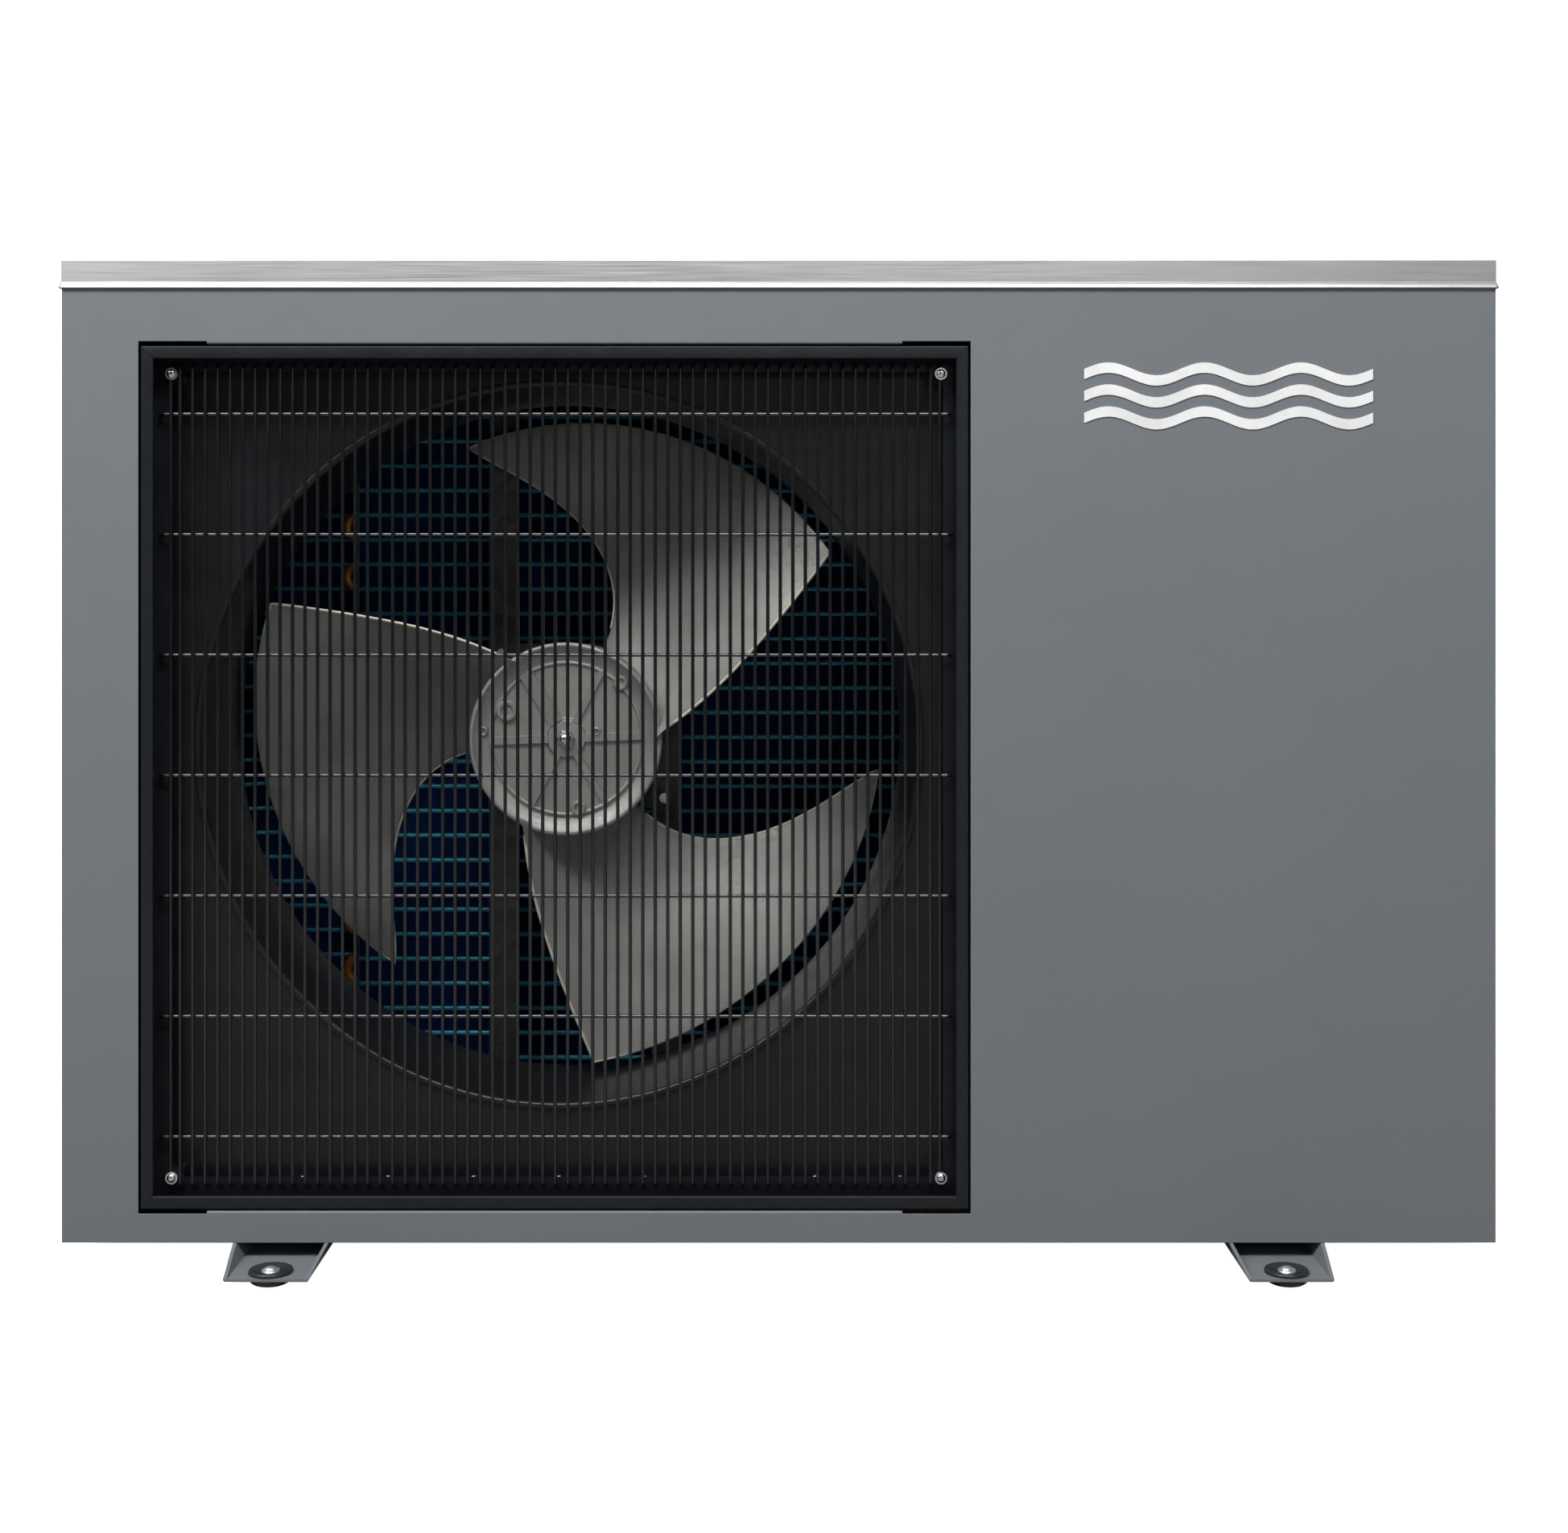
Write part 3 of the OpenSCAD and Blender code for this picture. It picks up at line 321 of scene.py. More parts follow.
def cast_metal(name, color, roughness):
    """Sand-tumbled casting: grainy, blotchy, half dull."""
    material, tree, shader = new_material(name, color, roughness, metallic=0.6)
    blotch = noise(tree, scale=22, detail=6)
    fine = noise(tree, scale=420, detail=3)
    tinted(tree, shader, spread(tree, blotch, 0, 1), color, 0.82, 1.12)
    roughened(tree, shader, fine, roughness - 0.1, roughness + 0.12)
    bumped(tree, shader, fine, 0.25, 0.5 * MM)
    return material


def moulded(name, color, roughness, grain=700, strength=0.15):
    """Plastic or rubber with a fine moulded skin."""
    material, tree, shader = new_material(name, color, roughness)
    roughened(tree, shader, noise(tree, scale=40, detail=4), roughness - 0.08, roughness + 0.1)
    cloud = spread(tree, noise(tree, scale=18, detail=3), 0, 1)
    tinted(tree, shader, cloud, color, 0.9, 1.12)
    bumped(tree, shader, noise(tree, grain, detail=2), strength, 0.3 * MM)
    return material


def galvanised(name, color, roughness=0.4):
    """Zinc-coated sheet with its crystal flowers."""
    material, tree, shader = new_material(name, color, roughness, metallic=0.8)
    place = tree.nodes.new("ShaderNodeTexCoord")
    cells = tree.nodes.new("ShaderNodeTexVoronoi")
    cells.inputs["Scale"].default_value = 110
    tree.links.new(place.outputs["Object"], cells.inputs["Vector"])
    split = tree.nodes.new("ShaderNodeSeparateColor")
    tree.links.new(cells.outputs["Color"], split.inputs["Color"])
    tinted(tree, shader, split.outputs["Red"], color, 0.8, 1.15)
    roughened(tree, shader, split.outputs["Green"], roughness - 0.08, roughness + 0.1)
    return material


PANEL = powder_coat("panel_paint", (0.166, 0.182, 0.196), 0.5,
                    grain=1500, strength=0.15, variation=0.02)
BLACK = powder_coat("black_paint", (0.010, 0.012, 0.016), 0.36,
                    grain=1200, strength=0.12, variation=0.1, gloss=0.35)
SHROUD = powder_coat("shroud_paint", (0.012, 0.012, 0.014), 0.34,
                     grain=900, strength=0.08, variation=0.15)
SHELL_BLACK = powder_coat("enamel_black", (0.018, 0.018, 0.02), 0.3,
                          grain=300, strength=0.1, variation=0.1)
WIRE = guard_coat("wire_paint", 0.14, ior=1.6)
BAR = guard_coat("bar_paint", 0.22, ior=2.1)
ZINC = galvanised("galvanised", (0.30, 0.31, 0.32))
RAIL_GREY = galvanised("rail_zinc", (0.10, 0.10, 0.095), 0.55)
LID = brushed_metal("lid_metal", (0.52, 0.525, 0.53))
STEEL = plain_metal("screw_steel", (0.80, 0.80, 0.82), 0.2)
BOLT = plain_metal("bolt_zinc", (0.90, 0.92, 0.98), 0.42)
SHAFT = plain_metal("shaft_steel", (0.6, 0.6, 0.62), 0.2)
CAST = cast_metal("cast_alloy", (0.36, 0.36, 0.34), 0.5)
# Light cream on the blade-edge beads is a painted highlight: the raised beads are real, their
# brightness stands in for rim light along the edges.
EDGE_HIGHLIGHT = plain_metal("edge_painted_highlight", (0.72, 0.68, 0.54), 0.4, scale=60, metallic=0.5)
FIN = plain_metal("fin_blue", (0.007, 0.040, 0.18), 0.5, variation=0.25, metallic=0.3)
TUBE = plain_metal("tube_teal", (0.06, 0.46, 0.66), 0.36, variation=0.15, metallic=0.3)
COPPER = plain_metal("copper", (0.98, 0.33, 0.07), 0.35, variation=0.2, scale=60, metallic=0.4)
BRASS = plain_metal("brass", (0.72, 0.52, 0.22), 0.3)
RUBBER = moulded("rubber", (0.020, 0.021, 0.028), 0.34, grain=500, strength=0.12)
PLASTIC = moulded("black_plastic", (0.022, 0.022, 0.024), 0.45)
WHITE = moulded("white_plastic", (0.82, 0.82, 0.82), 0.4)
GREEN = moulded("board_green", (0.02, 0.16, 0.07), 0.35)
BLUE = moulded("nut_blue", (0.02, 0.10, 0.45), 0.38)
RED = moulded("nut_red", (0.5, 0.02, 0.02), 0.38)
TRIM = moulded("trim_white", (0.86, 0.86, 0.86), 0.3, strength=0.04)

NODE_MATERIALS = {
    PANEL: ["left_panel", "right_panel", "rear_panel", "foot_rail_left", "foot_rail_right"],
    WIRE: ["guard_wires"],
    BAR: ["guard_crossbars"],
    ZINC: ["base_pan", "partition", "coil_end_plates", "electrical_box"],
    RAIL_GREY: ["motor_rails", "motor_plate"],
    STEEL: ["foot_inserts", "casing_screws", "motor_screws", "fan_washer", "compressor_nuts"],
    SHAFT: ["fan_shaft"],
    COPPER: ["return_bends", "gas_header", "filter_drier", "discharge_pipe", "suction_pipe",
             "gas_pipes", "liquid_pipes"],
    BRASS: ["liquid_distributor", "four_way_valve", "expansion_valve"],
    RUBBER: ["compressor_grommets"],
    SHELL_BLACK: ["compressor", "accumulator", "fan_motor"],
    PLASTIC: ["rear_guard", "left_guard", "terminal_cover", "valve_solenoid", "water_exchanger",
              "water_inlet", "water_outlet", "flow_switch", "cable_gland", "drain_spigot"],
    WHITE: ["terminal_block"],
    GREEN: ["control_board"],
    BLUE: ["water_inlet_nut"],
    RED: ["water_outlet_nut"],
    TRIM: ["badge"],
}


def colour_cad_nodes():
    """Gives the carried-over CAD nodes their materials."""
    for material, nodes in NODE_MATERIALS.items():
        for node in nodes:
            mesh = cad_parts[node].data
            mesh.materials.clear()
            mesh.materials.append(material)


# ---------------------------------------------------------------- casing

SHEET = 1.2 * MM
OPENING_GAP = 1.6 * MM


def opening():
    """Limits of the front panel's opening: x, then z."""
    low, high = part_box("grille_frame")
    return (low.x - OPENING_GAP, high.x + OPENING_GAP), (low.z - OPENING_GAP, high.z + OPENING_GAP)


def make_front_panel():
    """Folded sheet with a framed opening, thickened and rounded by modifiers.

    The opening's upper and lower edges are folded in, with a relief slot at each corner.
    """
    low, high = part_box("front_panel")
    (x0, x1), (z0, z1) = opening()
    relief_w, relief_h = 53 * MM, 2 * MM
    side_fold, edge_fold = 14 * MM, 20 * MM
    bend, edge_round = 1.5 * MM, 0.55 * MM
    xs = [low.x, x0, x0 + relief_w, x1 - relief_w, x1, high.x]
    zs = [low.z, z0 - relief_h, z0, z1, z1 + relief_h, high.z]
    work = bmesh.new()
    grid = [[work.verts.new((x, low.y, z)) for x in xs] for z in zs]
    for i in (2, 3):
        grid[2][i].co.z = z0 - bend
        grid[3][i].co.z = z1 + bend

    def is_open(i, k):
        """True for the cells of the opening and its four reliefs."""
        if k == 2:
            return 1 <= i <= 3
        return k in (1, 3) and i in (1, 3)

    for k in range(5):
        for i in range(5):
            if not is_open(i, k):
                work.faces.new((grid[k][i], grid[k][i + 1], grid[k + 1][i + 1], grid[k + 1][i]))
    work.edges.ensure_lookup_table()

    def fold(test, steps):
        """Extrudes the edges that pass the test once per (y, z) step."""
        edges = [e for e in work.edges if e.is_boundary and all(test(v.co) for v in e.verts)]
        for step_y, step_z in steps:
            made = bmesh.ops.extrude_edge_only(work, edges=edges)["geom"]
            edges = [e for e in made if isinstance(e, bmesh.types.BMEdge) and e.is_boundary
                     and all(v in made for v in e.verts)]
            for v in made:
                if isinstance(v, bmesh.types.BMVert):
                    v.co.y += step_y
                    v.co.z += step_z

    def bent_edge(way):
        """Steps round a quarter bend and on to the fold's depth."""
        turns = arc(0, 0, bend, 0, 90, 5)
        steps = [(a[0] - b[0], way * (b[1] - a[1])) for a, b in zip(turns, turns[1:])]
        return steps + [(edge_fold - bend, 0)]

    def near(a, b):
        return abs(a - b) < TINY

    def at_side(c):
        return (near(c.x, low.x) or near(c.x, high.x)) and near(c.y, low.y)

    def between_reliefs(c):
        return x0 + relief_w - TINY < c.x < x1 - relief_w + TINY and near(c.y, low.y)

    fold(at_side, [(side_fold, 0)])
    fold(lambda c: near(c.z, z0 - bend) and between_reliefs(c), bent_edge(1))
    fold(lambda c: near(c.z, z1 + bend) and between_reliefs(c), bent_edge(-1))
    bmesh.ops.delete(work, geom=[v for v in work.verts if not v.link_faces], context="VERTS")
    bmesh.ops.recalc_face_normals(work, faces=work.faces)
    front_face = next(f for f in work.faces if abs(f.normal.y) > 0.9)
    if front_face.normal.y > 0:
        bmesh.ops.reverse_faces(work, faces=work.faces)
    mesh = bpy.data.meshes.new("front_panel_sheet")
    work.to_mesh(mesh)
    work.free()
    mesh.materials.append(PANEL)
    piece = new_object("front_panel_sheet", mesh)
    thick = piece.modifiers.new("thickness", "SOLIDIFY")
    thick.thickness = SHEET
    thick.offset = -1
    thick.use_even_offset = True
    rounding = piece.modifiers.new("rounding", "BEVEL")
    rounding.width = edge_round
    rounding.segments = 3
    rounding.limit_method = "ANGLE"
    rounding.angle_limit = math.radians(40)
    rounding.harden_normals = True
    mesh.shade_smooth()
    mesh.set_sharp_from_angle(angle=math.radians(35))
    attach(piece, CASING)
    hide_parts("front_panel")


def make_lid():
    """Shallow tray of bright metal: flat top, skirt and a flared hem along its lower edge."""
    low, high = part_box("top_lid")
    half_w, half_d = (high.x - low.x) / 2, (high.y - low.y) / 2
    out, hem, edge = 2.2 * MM, 4.6 * MM, 0.5 * MM
    top_inset, corner_r, least_r = 40 * MM, 3 * MM, 0.4 * MM
    profile = [(-out - top_inset, high.z)]
    profile += arc(-out - edge, high.z - edge, edge, 90, 0, 4)
    profile += arc(-out + edge, low.z + hem + 0.4 * MM, edge, 180, 240, 3)
    profile += arc(-edge, low.z + edge, edge, 30, -90, 5)
    profile += [(-out - SHEET, low.z + 0.3 * MM), (-out - SHEET, high.z - SHEET),
                (-out - top_inset, high.z - SHEET)]
    centre_y = (low.y + high.y) / 2
    loops = []
    for offset, z in profile:
        radius = max(least_r, corner_r + offset)
        corners = round_rectangle(half_w + offset, half_d + offset, radius)
        loops.append([(x, centre_y + y, z) for x, y in corners])
    verts, faces = ring_of_loops(loops, False)
    n = len(loops[0])
    faces.append(list(range(n)))
    faces.append([(len(loops) - 1) * n + k for k in range(n)][::-1])
    add_piece("lid_tray", (verts, faces), LID, stands_for=["top_lid"], sharp=50)


def make_grille_frame():
    """Mitred black frame: rounded front border, outer wall and a flange at the rear."""
    low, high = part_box("grille_frame")
    front, back = low.y, high.y
    border, lip, flange, gusset = 9.5 * MM, 4 * MM, 18 * MM, 27 * MM
    edge, seam = 0.9 * MM, 0.12 * MM
    profile = [(0, back)]
    profile += arc(edge, front + edge, edge, 180, 270, 4)
    profile += arc(border - edge, front + edge, edge, 270, 360, 4)
    profile += [(border, front + lip), (border - SHEET, front + lip),
                (border - SHEET, front + SHEET), (SHEET, front + SHEET),
                (SHEET, back - SHEET), (flange, back - SHEET), (flange, back)]
    cx, cz = centre_xz("grille_frame")
    half_w, half_h = (high.x - low.x) / 2, (high.z - low.z) / 2
    shapes = [mitred_bar(profile, cx, cz, half_w, half_h, side, seam) for side in range(4)]
    for sx in (-1, 1):
        for sz in (-1, 1):
            x0, x1 = sorted(cx + sx * (half_w - inward) for inward in (flange, gusset))
            z0, z1 = sorted(cz + sz * (half_h - inward) for inward in (flange, gusset))
            shapes.append(block((x0, back - SHEET, z0), (x1, back, z1)))
    add_piece("grille_frame_bars", joined(shapes), BLACK,
              stands_for=["grille_frame"], sharp=30)


def mitred_bar(profile, cx, cz, half_w, half_h, side, seam):
    """One bar of the frame, cut at 45 degrees at both ends; side 0 is the lowest, then round."""
    signs = [(-1, -1), (1, -1), (1, 1), (-1, 1)]
    (sx0, sz0), (sx1, sz1) = signs[side], signs[(side + 1) % 4]
    along_x, along_z = (sx1 - sx0) / 2 * seam, (sz1 - sz0) / 2 * seam
    verts = []
    for inward, y in profile:
        w, h = half_w - inward, half_h - inward
        verts.append((cx + sx0 * w + along_x, y, cz + sz0 * h + along_z))
        verts.append((cx + sx1 * w - along_x, y, cz + sz1 * h - along_z))
    n = len(profile)
    faces = [(2 * i, 2 * i + 1, 2 * ((i + 1) % n) + 1, 2 * ((i + 1) % n)) for i in range(n)]
    faces += [tuple(2 * i for i in range(n)), tuple(2 * i + 1 for i in reversed(range(n)))]
    return verts, faces


def make_shroud():
    """Bulkhead with a pressed ring and a rolled bell mouth round the fan."""
    low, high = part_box("fan_shroud")
    x, z = centre_xz("fan_shaft")
    throat, rim, lip_r, edge, wall = 276 * MM, 288 * MM, 3.6 * MM, 1 * MM, 2 * MM
    plate_y = low.y + 3 * MM
    taper_y = low.y + 32 * MM
    steps = 256
    mouth = [(rim + wall, plate_y + SHEET)]
    mouth += arc(rim + wall - edge, low.y + edge, edge, 0, -90, 4)
    mouth += arc(rim, low.y + lip_r, lip_r, -90, -180, 12)
    mouth += [(throat, taper_y), (throat, high.y),
              (throat + wall, high.y), (throat + wall, taper_y)]
    mouth += arc(rim, low.y + lip_r, lip_r - wall, -180, -90, 8)
    mouth += [(rim + 0.2 * MM, plate_y + SHEET)]
    plate = plate_with_hole(low.x, high.x, low.z, high.z, plate_y, SHEET,
                            x, z, rim + edge, steps)
    shapes = [spun_y(mouth, x, z, steps, True), plate]
    add_piece("fan_shroud_sheet", joined(shapes), SHROUD,
              stands_for=["fan_shroud"], sharp=32)


def plate_with_hole(x0, x1, z0, z1, y, thickness, cx, cz, radius, steps):
    """Flat plate in XZ with one round hole, front and back faces and both rims."""
    circle, edge = [], []
    for k in range(steps):
        turn = 2 * math.pi * (k + 0.5) / steps
        dx, dz = math.cos(turn), math.sin(turn)
        circle.append((cx + radius * dx, cz + radius * dz))
        reach_x = ((x1 if dx > 0 else x0) - cx) / dx
        reach_z = ((z1 if dz > 0 else z0) - cz) / dz
        reach = min(reach_x, reach_z)
        edge.append((cx + reach * dx, cz + reach * dz))
    corners = [(x1, z1), (x0, z1), (x0, z0), (x1, z0)]
    for corner in corners:
        nearest = min(range(steps), key=lambda i: math.dist(edge[i], corner))
        edge[nearest] = corner
    back = y + thickness
    loops = [[(px, level, pz) for px, pz in ring]
             for ring, level in ((circle, y), (edge, y), (edge, back), (circle, back))]
    return ring_of_loops(loops, True)


# ---------------------------------------------------------------- fan

BLADES = 3
HUB_R = 79.5 * MM
HUB_DEPTH = 99 * MM
ROOT_R = 74.5 * MM
TIP_R = 265 * MM
ROOT_DEPTH, TIP_DEPTH = 80, 139
CAMBER = 0.35


def trail_angle(t):
    """Degrees round the axis of the trailing edge, which sweeps forward towards the tip."""
    return 35.2 * t ** 0.58 + 2 * math.sin(math.pi * t)


def lead_angle(t):
    """Degrees round the axis of the leading edge, hollow near the hub."""
    return 70.5 + 41.4 * t * t * (2.5 - 1.5 * t) - 2.2 * math.sin(math.pi * t)


def blade_point(t, c, axis_x, axis_z, front):
    """Middle surface of a blade: t runs from hub to tip, c from trailing to leading edge."""
    radius = ROOT_R + (TIP_R - ROOT_R) * t
    turn = math.radians(trail_angle(t) + (lead_angle(t) - trail_angle(t)) * c)
    depth = (ROOT_DEPTH + (TIP_DEPTH - ROOT_DEPTH) * t) * MM
    y = front + depth * (c + CAMBER * c * (1 - c))
    return Vector((axis_x + radius * math.cos(turn), y, axis_z + radius * math.sin(turn)))


def blade_half_thickness(t, c):
    """Half the thickness: square-cut edges, fuller in the middle and thick at the root."""
    body = 1.2 + (4.5 - 2 * t) * math.sqrt(max(0.0, c * (1 - c)))
    return (body + 5.0 * math.exp(-t * 22)) * MM


def blade(axis_x, axis_z, front):
    """One blade: a front and a back grid, closed round its edges."""
    spans, chords = 56, 40
    ts = [(i / spans) ** 1.15 for i in range(spans)] + [1.0]
    cs = [0.5 - 0.5 * math.cos(math.pi * k / chords) for k in range(chords + 1)]
    verts, faces = [], []
    for way in (-1, 1):
        for t in ts:
            for c in cs:
                p = blade_point(t, c, axis_x, axis_z, front)
                verts.append((p.x, p.y + way * blade_half_thickness(t, c), p.z))
    row, side = chords + 1, (spans + 1) * (chords + 1)
    for i in range(spans):
        for k in range(chords):
            a = i * row + k
            faces.append((a, a + 1, a + row + 1, a + row))
            faces.append((side + a, side + a + row, side + a + row + 1, side + a + 1))
        for a in (i * row, i * row + chords):
            faces.append((a, a + row, side + a + row, side + a))
    for k in range(chords):
        for a in (k, spans * row + k):
            faces.append((a, side + a, side + a + 1, a + 1))
    return verts, faces


def blade_bead(axis_x, axis_z, front):
    """Rounded bead along the trailing edge, the tip and the leading edge."""
    steps = 40
    radius, proud = 1.25 * MM, 0.5 * MM
    way = [(0.06 + 0.94 * i / steps, 0) for i in range(steps)]
    way += [(1, k / steps) for k in range(steps)]
    way += [(1 - 0.9 * i / steps, 1) for i in range(steps + 1)]
    points = [blade_point(t, c, axis_x, axis_z, front) for t, c in way]
    return swept([p - Vector((0, proud, 0)) for p in points], radius, 10)


def turned(shape, axis_x, axis_z, degrees):
    """A shape turned about the fan's axis, counter-clockwise as seen from the front."""
    centre = Vector((axis_x, 0, axis_z))
    turn = Matrix.Rotation(math.radians(-degrees), 4, "Y")
    return placed(shape, Matrix.Translation(centre) @ turn @ Matrix.Translation(-centre))


# Degrees round the axis, then the width, or the distance from the axis and the radius, in mm.
HUB_RIBS = [(2, 6), (62, 5), (122, 11), (182, 6), (242, 5), (302, 5)]
HUB_BOSSES = [(45.8, 63.9, 6), (155, 54, 8.5), (175, 69, 4), (13, 25.6, 3.5), (-80, 58, 6)]


def hub(axis_x, axis_z, front, back):
    """Tapered hub: narrow rim, dished face with a ring, ribs and bosses, a seat for the nut."""
    face = front + 9 * MM
    wall, bore, boss_edge = 5 * MM, 6.1 * MM, 1 * MM
    profile = [(bore, face - 2 * MM)]
    profile += arc(14.5 * MM, face - 0.5 * MM, 1.5 * MM, -90, 0, 4)
    profile += arc(18 * MM, face - 2 * MM, 2 * MM, 180, 90, 4)
    profile += [(60.5 * MM, face)] + arc(62.5 * MM, face, 1.8 * MM, 180, 360, 8)
    profile += [(66.5 * MM, face), (76.2 * MM, front + 1 * MM)]
    profile += arc(HUB_R - 2.4 * MM, front + 2.4 * MM, 2.4 * MM, -110, 0, 8)
    profile += [(ROOT_R + 0.5 * MM, back), (ROOT_R - wall, back), (ROOT_R - wall, face + 7 * MM),
                (16 * MM, face + 7 * MM), (16 * MM, face + 14 * MM), (bore, face + 14 * MM)]
    shapes = [spun_y(profile, axis_x, axis_z, 160, True)]
    for degrees, width in HUB_RIBS:
        rib = sloped_rib(axis_x + 15 * MM, axis_x + 63 * MM, face + 1 * MM, 3.6 * MM,
                         axis_z, width * MM)
        shapes.append(turned(rib, axis_x, axis_z, degrees))
    for degrees, reach, radius in HUB_BOSSES:
        x = axis_x + reach * MM * math.cos(math.radians(degrees))
        z = axis_z + reach * MM * math.sin(math.radians(degrees))
        r = radius * MM
        boss = [(0, face - 1.4 * MM), (r * 0.45, face - 1.4 * MM), (r * 0.6, face - 3 * MM)]
        boss += arc(r - boss_edge, face - 2.4 * MM, boss_edge, -90, 0, 4)
        boss += [(r + 0.6 * MM, face + 1 * MM)]
        shapes.append(spun_y(boss, x, z, 32))
    return joined(shapes)


def sloped_rib(x0, x1, base_y, height, z, width):
    """Rib along +X with drafted sides."""
    outer, inner = width / 2 + 0.8 * MM, width / 2
    verts = [(x, y, z + side * half) for x in (x0, x1)
             for y, half in ((base_y, outer), (base_y - height, inner)) for side in (-1, 1)]
    faces = [(0, 1, 3, 2), (4, 6, 7, 5), (0, 4, 5, 1), (2, 3, 7, 6), (0, 2, 6, 4), (1, 5, 7, 3)]
    return verts, faces


def make_fan():
    """Hub and blades in one casting, and the beads along the blades' edges, whose light cream
    colour is a painted highlight.
    """
    x, z = centre_xz("fan_shaft")
    trailing_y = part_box("fan")[0].y + 1.2 * MM
    hub_front = trailing_y + 1 * MM
    turns = [-360 * i / BLADES for i in range(BLADES)]
    one = blade(x, z, trailing_y)
    bead = blade_bead(x, z, trailing_y)
    shapes = [hub(x, z, hub_front, hub_front + HUB_DEPTH)]
    shapes += [turned(one, x, z, turn) for turn in turns]
    add_piece("fan_casting", joined(shapes), CAST, ROTOR, ["fan"], sharp=40)
    # The beads' light colour paints the highlight along the blades' edges.
    beads = joined([turned(bead, x, z, turn) for turn in turns])
    add_piece("fan_edge_beads", beads, EDGE_HIGHLIGHT, ROTOR, sharp=60)


def make_fan_nut():
    """Cap nut on the hub's seat: chamfered hexagon under a polished dome."""
    low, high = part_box("fan_nut")
    x, z = centre_xz("fan_nut")
    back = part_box("fan")[0].y + 9.2 * MM
    front = back - (high.y - low.y)
    flat, dome_r, chamfer = 6.5 * MM, 6.2 * MM, 0.5 * MM
    corner = flat / math.cos(math.radians(30))
    hex_front = back - 5 * MM
    hexagon = [(0, back), (corner - chamfer, back), (corner, back - chamfer),
               (corner, hex_front + 0.8 * MM), (corner - 1.2 * MM, hex_front), (0, hex_front)]
    cap = [(dome_r, hex_front + 0.1 * MM)]
    cap += dome(dome_r, hex_front, front - hex_front) + [(0, front)]
    shapes = [spun_y(hexagon, x, z, 6), spun_y(cap, x, z, 48)]
    add_piece("cap_nut", joined(shapes), STEEL, ROTOR, ["fan_nut"], sharp=35)


# ---------------------------------------------------------------- coil

FIN_PITCH = 2.0 * MM
FIN_T = 0.16 * MM
FIN_WAVE = 2.2 * MM
TUBE_R = 2.2 * MM
TUBE_INSET = 1.5 * MM
TUBE_ROWS = 31
ROW_DEPTH = 21.5 * MM
COIL_BEND = 50 * MM


def tube_heights():
    """The tubes' levels, evenly spaced up the coil."""
    low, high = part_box("coil_inner_row")
    pitch = (high.z - low.z) / TUBE_ROWS
    return [low.z + pitch * (k + 0.5) for k in range(TUBE_ROWS)]


def wavy_fin(depth, z0, z1):
    """Thin corrugated fin in the YZ plane, from y = 0 to y = depth."""
    folds = 6
    verts, faces = [], []
    for j in range(folds + 1):
        side = FIN_WAVE if j % 2 else 0
        for x, z in ((side, z0), (side + FIN_T, z0), (side + FIN_T, z1), (side, z1)):
            verts.append((x, depth * j / folds, z))
    for j in range(folds):
        for k in range(4):
            a, b = 4 * j + k, 4 * j + (k + 1) % 4
            faces.append((a, b, b + 4, a + 4))
    faces += [(3, 2, 1, 0), tuple(4 * folds + k for k in range(4))]
    return verts, faces


def fins_along(length, depth, z0, z1):
    """A row of fins, side by side along +X."""
    fin = wavy_fin(depth, z0, z1)
    room = length - FIN_T - FIN_WAVE
    count = int(room / FIN_PITCH)
    step = room / count
    return [placed(fin, Matrix.Translation((i * step, 0, 0))) for i in range(count + 1)]


def make_inner_row():
    """Straight front row: fins across, tubes along its front."""
    low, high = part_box("coil_inner_row")
    fins = joined(fins_along(high.x - low.x, high.y - low.y, low.z, high.z))
    add_piece("inner_fins", placed(fins, Matrix.Translation((low.x, low.y, 0))), FIN,
              stands_for=["coil_inner_row"], sharp=10)
    depth = low.y + TUBE_INSET
    tubes = [swept([(low.x, depth, z), (high.x, depth, z)], TUBE_R) for z in tube_heights()]
    add_piece("inner_tubes", joined(tubes), TUBE)


def make_outer_row():
    """Rear row, which bends forward round the left corner of the casing."""
    low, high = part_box("coil_outer_row")
    corner_x = low.x + ROW_DEPTH + COIL_BEND
    corner_y = high.y - ROW_DEPTH - COIL_BEND
    back = joined(fins_along(high.x - corner_x, ROW_DEPTH, low.z, high.z))
    shapes = [placed(back, Matrix.Translation((corner_x, high.y - ROW_DEPTH, 0)))]
    leg = joined(fins_along(corner_y - low.y, ROW_DEPTH, low.z, high.z))
    quarter_turn = Matrix.Rotation(math.radians(90), 4, "Z")
    shapes.append(placed(leg, Matrix.Translation((low.x + ROW_DEPTH, low.y, 0)) @ quarter_turn))
    one = wavy_fin(ROW_DEPTH, low.z, high.z)
    centre = Matrix.Translation((corner_x, corner_y, 0))
    arc_fins = int(math.pi / 2 * COIL_BEND / FIN_PITCH)
    for i in range(1, arc_fins):
        turn = Matrix.Rotation(math.radians(90 * i / arc_fins), 4, "Z")
        shapes.append(placed(one, centre @ turn @ Matrix.Translation((0, COIL_BEND, 0))))
    add_piece("outer_fins", joined(shapes), FIN,
              stands_for=["coil_outer_row"], sharp=10)
    mid_r = COIL_BEND + TUBE_INSET
    tubes = []
    for z in tube_heights():
        path = [(high.x, corner_y + mid_r, z)]
        path += [(x, y, z) for x, y in arc(corner_x, corner_y, mid_r, 90, 180, 12)]
        path += [(corner_x - mid_r, low.y, z)]
        tubes.append(swept(path, TUBE_R))
    add_piece("outer_tubes", joined(tubes), TUBE)


# ---------------------------------------------------------------- feet and screws


def corner_spots(low, high, inward):
    """Moves to the four upright corners of a box, each drawn in by the same amount."""
    return [Matrix.Translation((x, y, 0))
            for x in (low.x + inward, high.x - inward)
            for y in (low.y + inward, high.y - inward)]


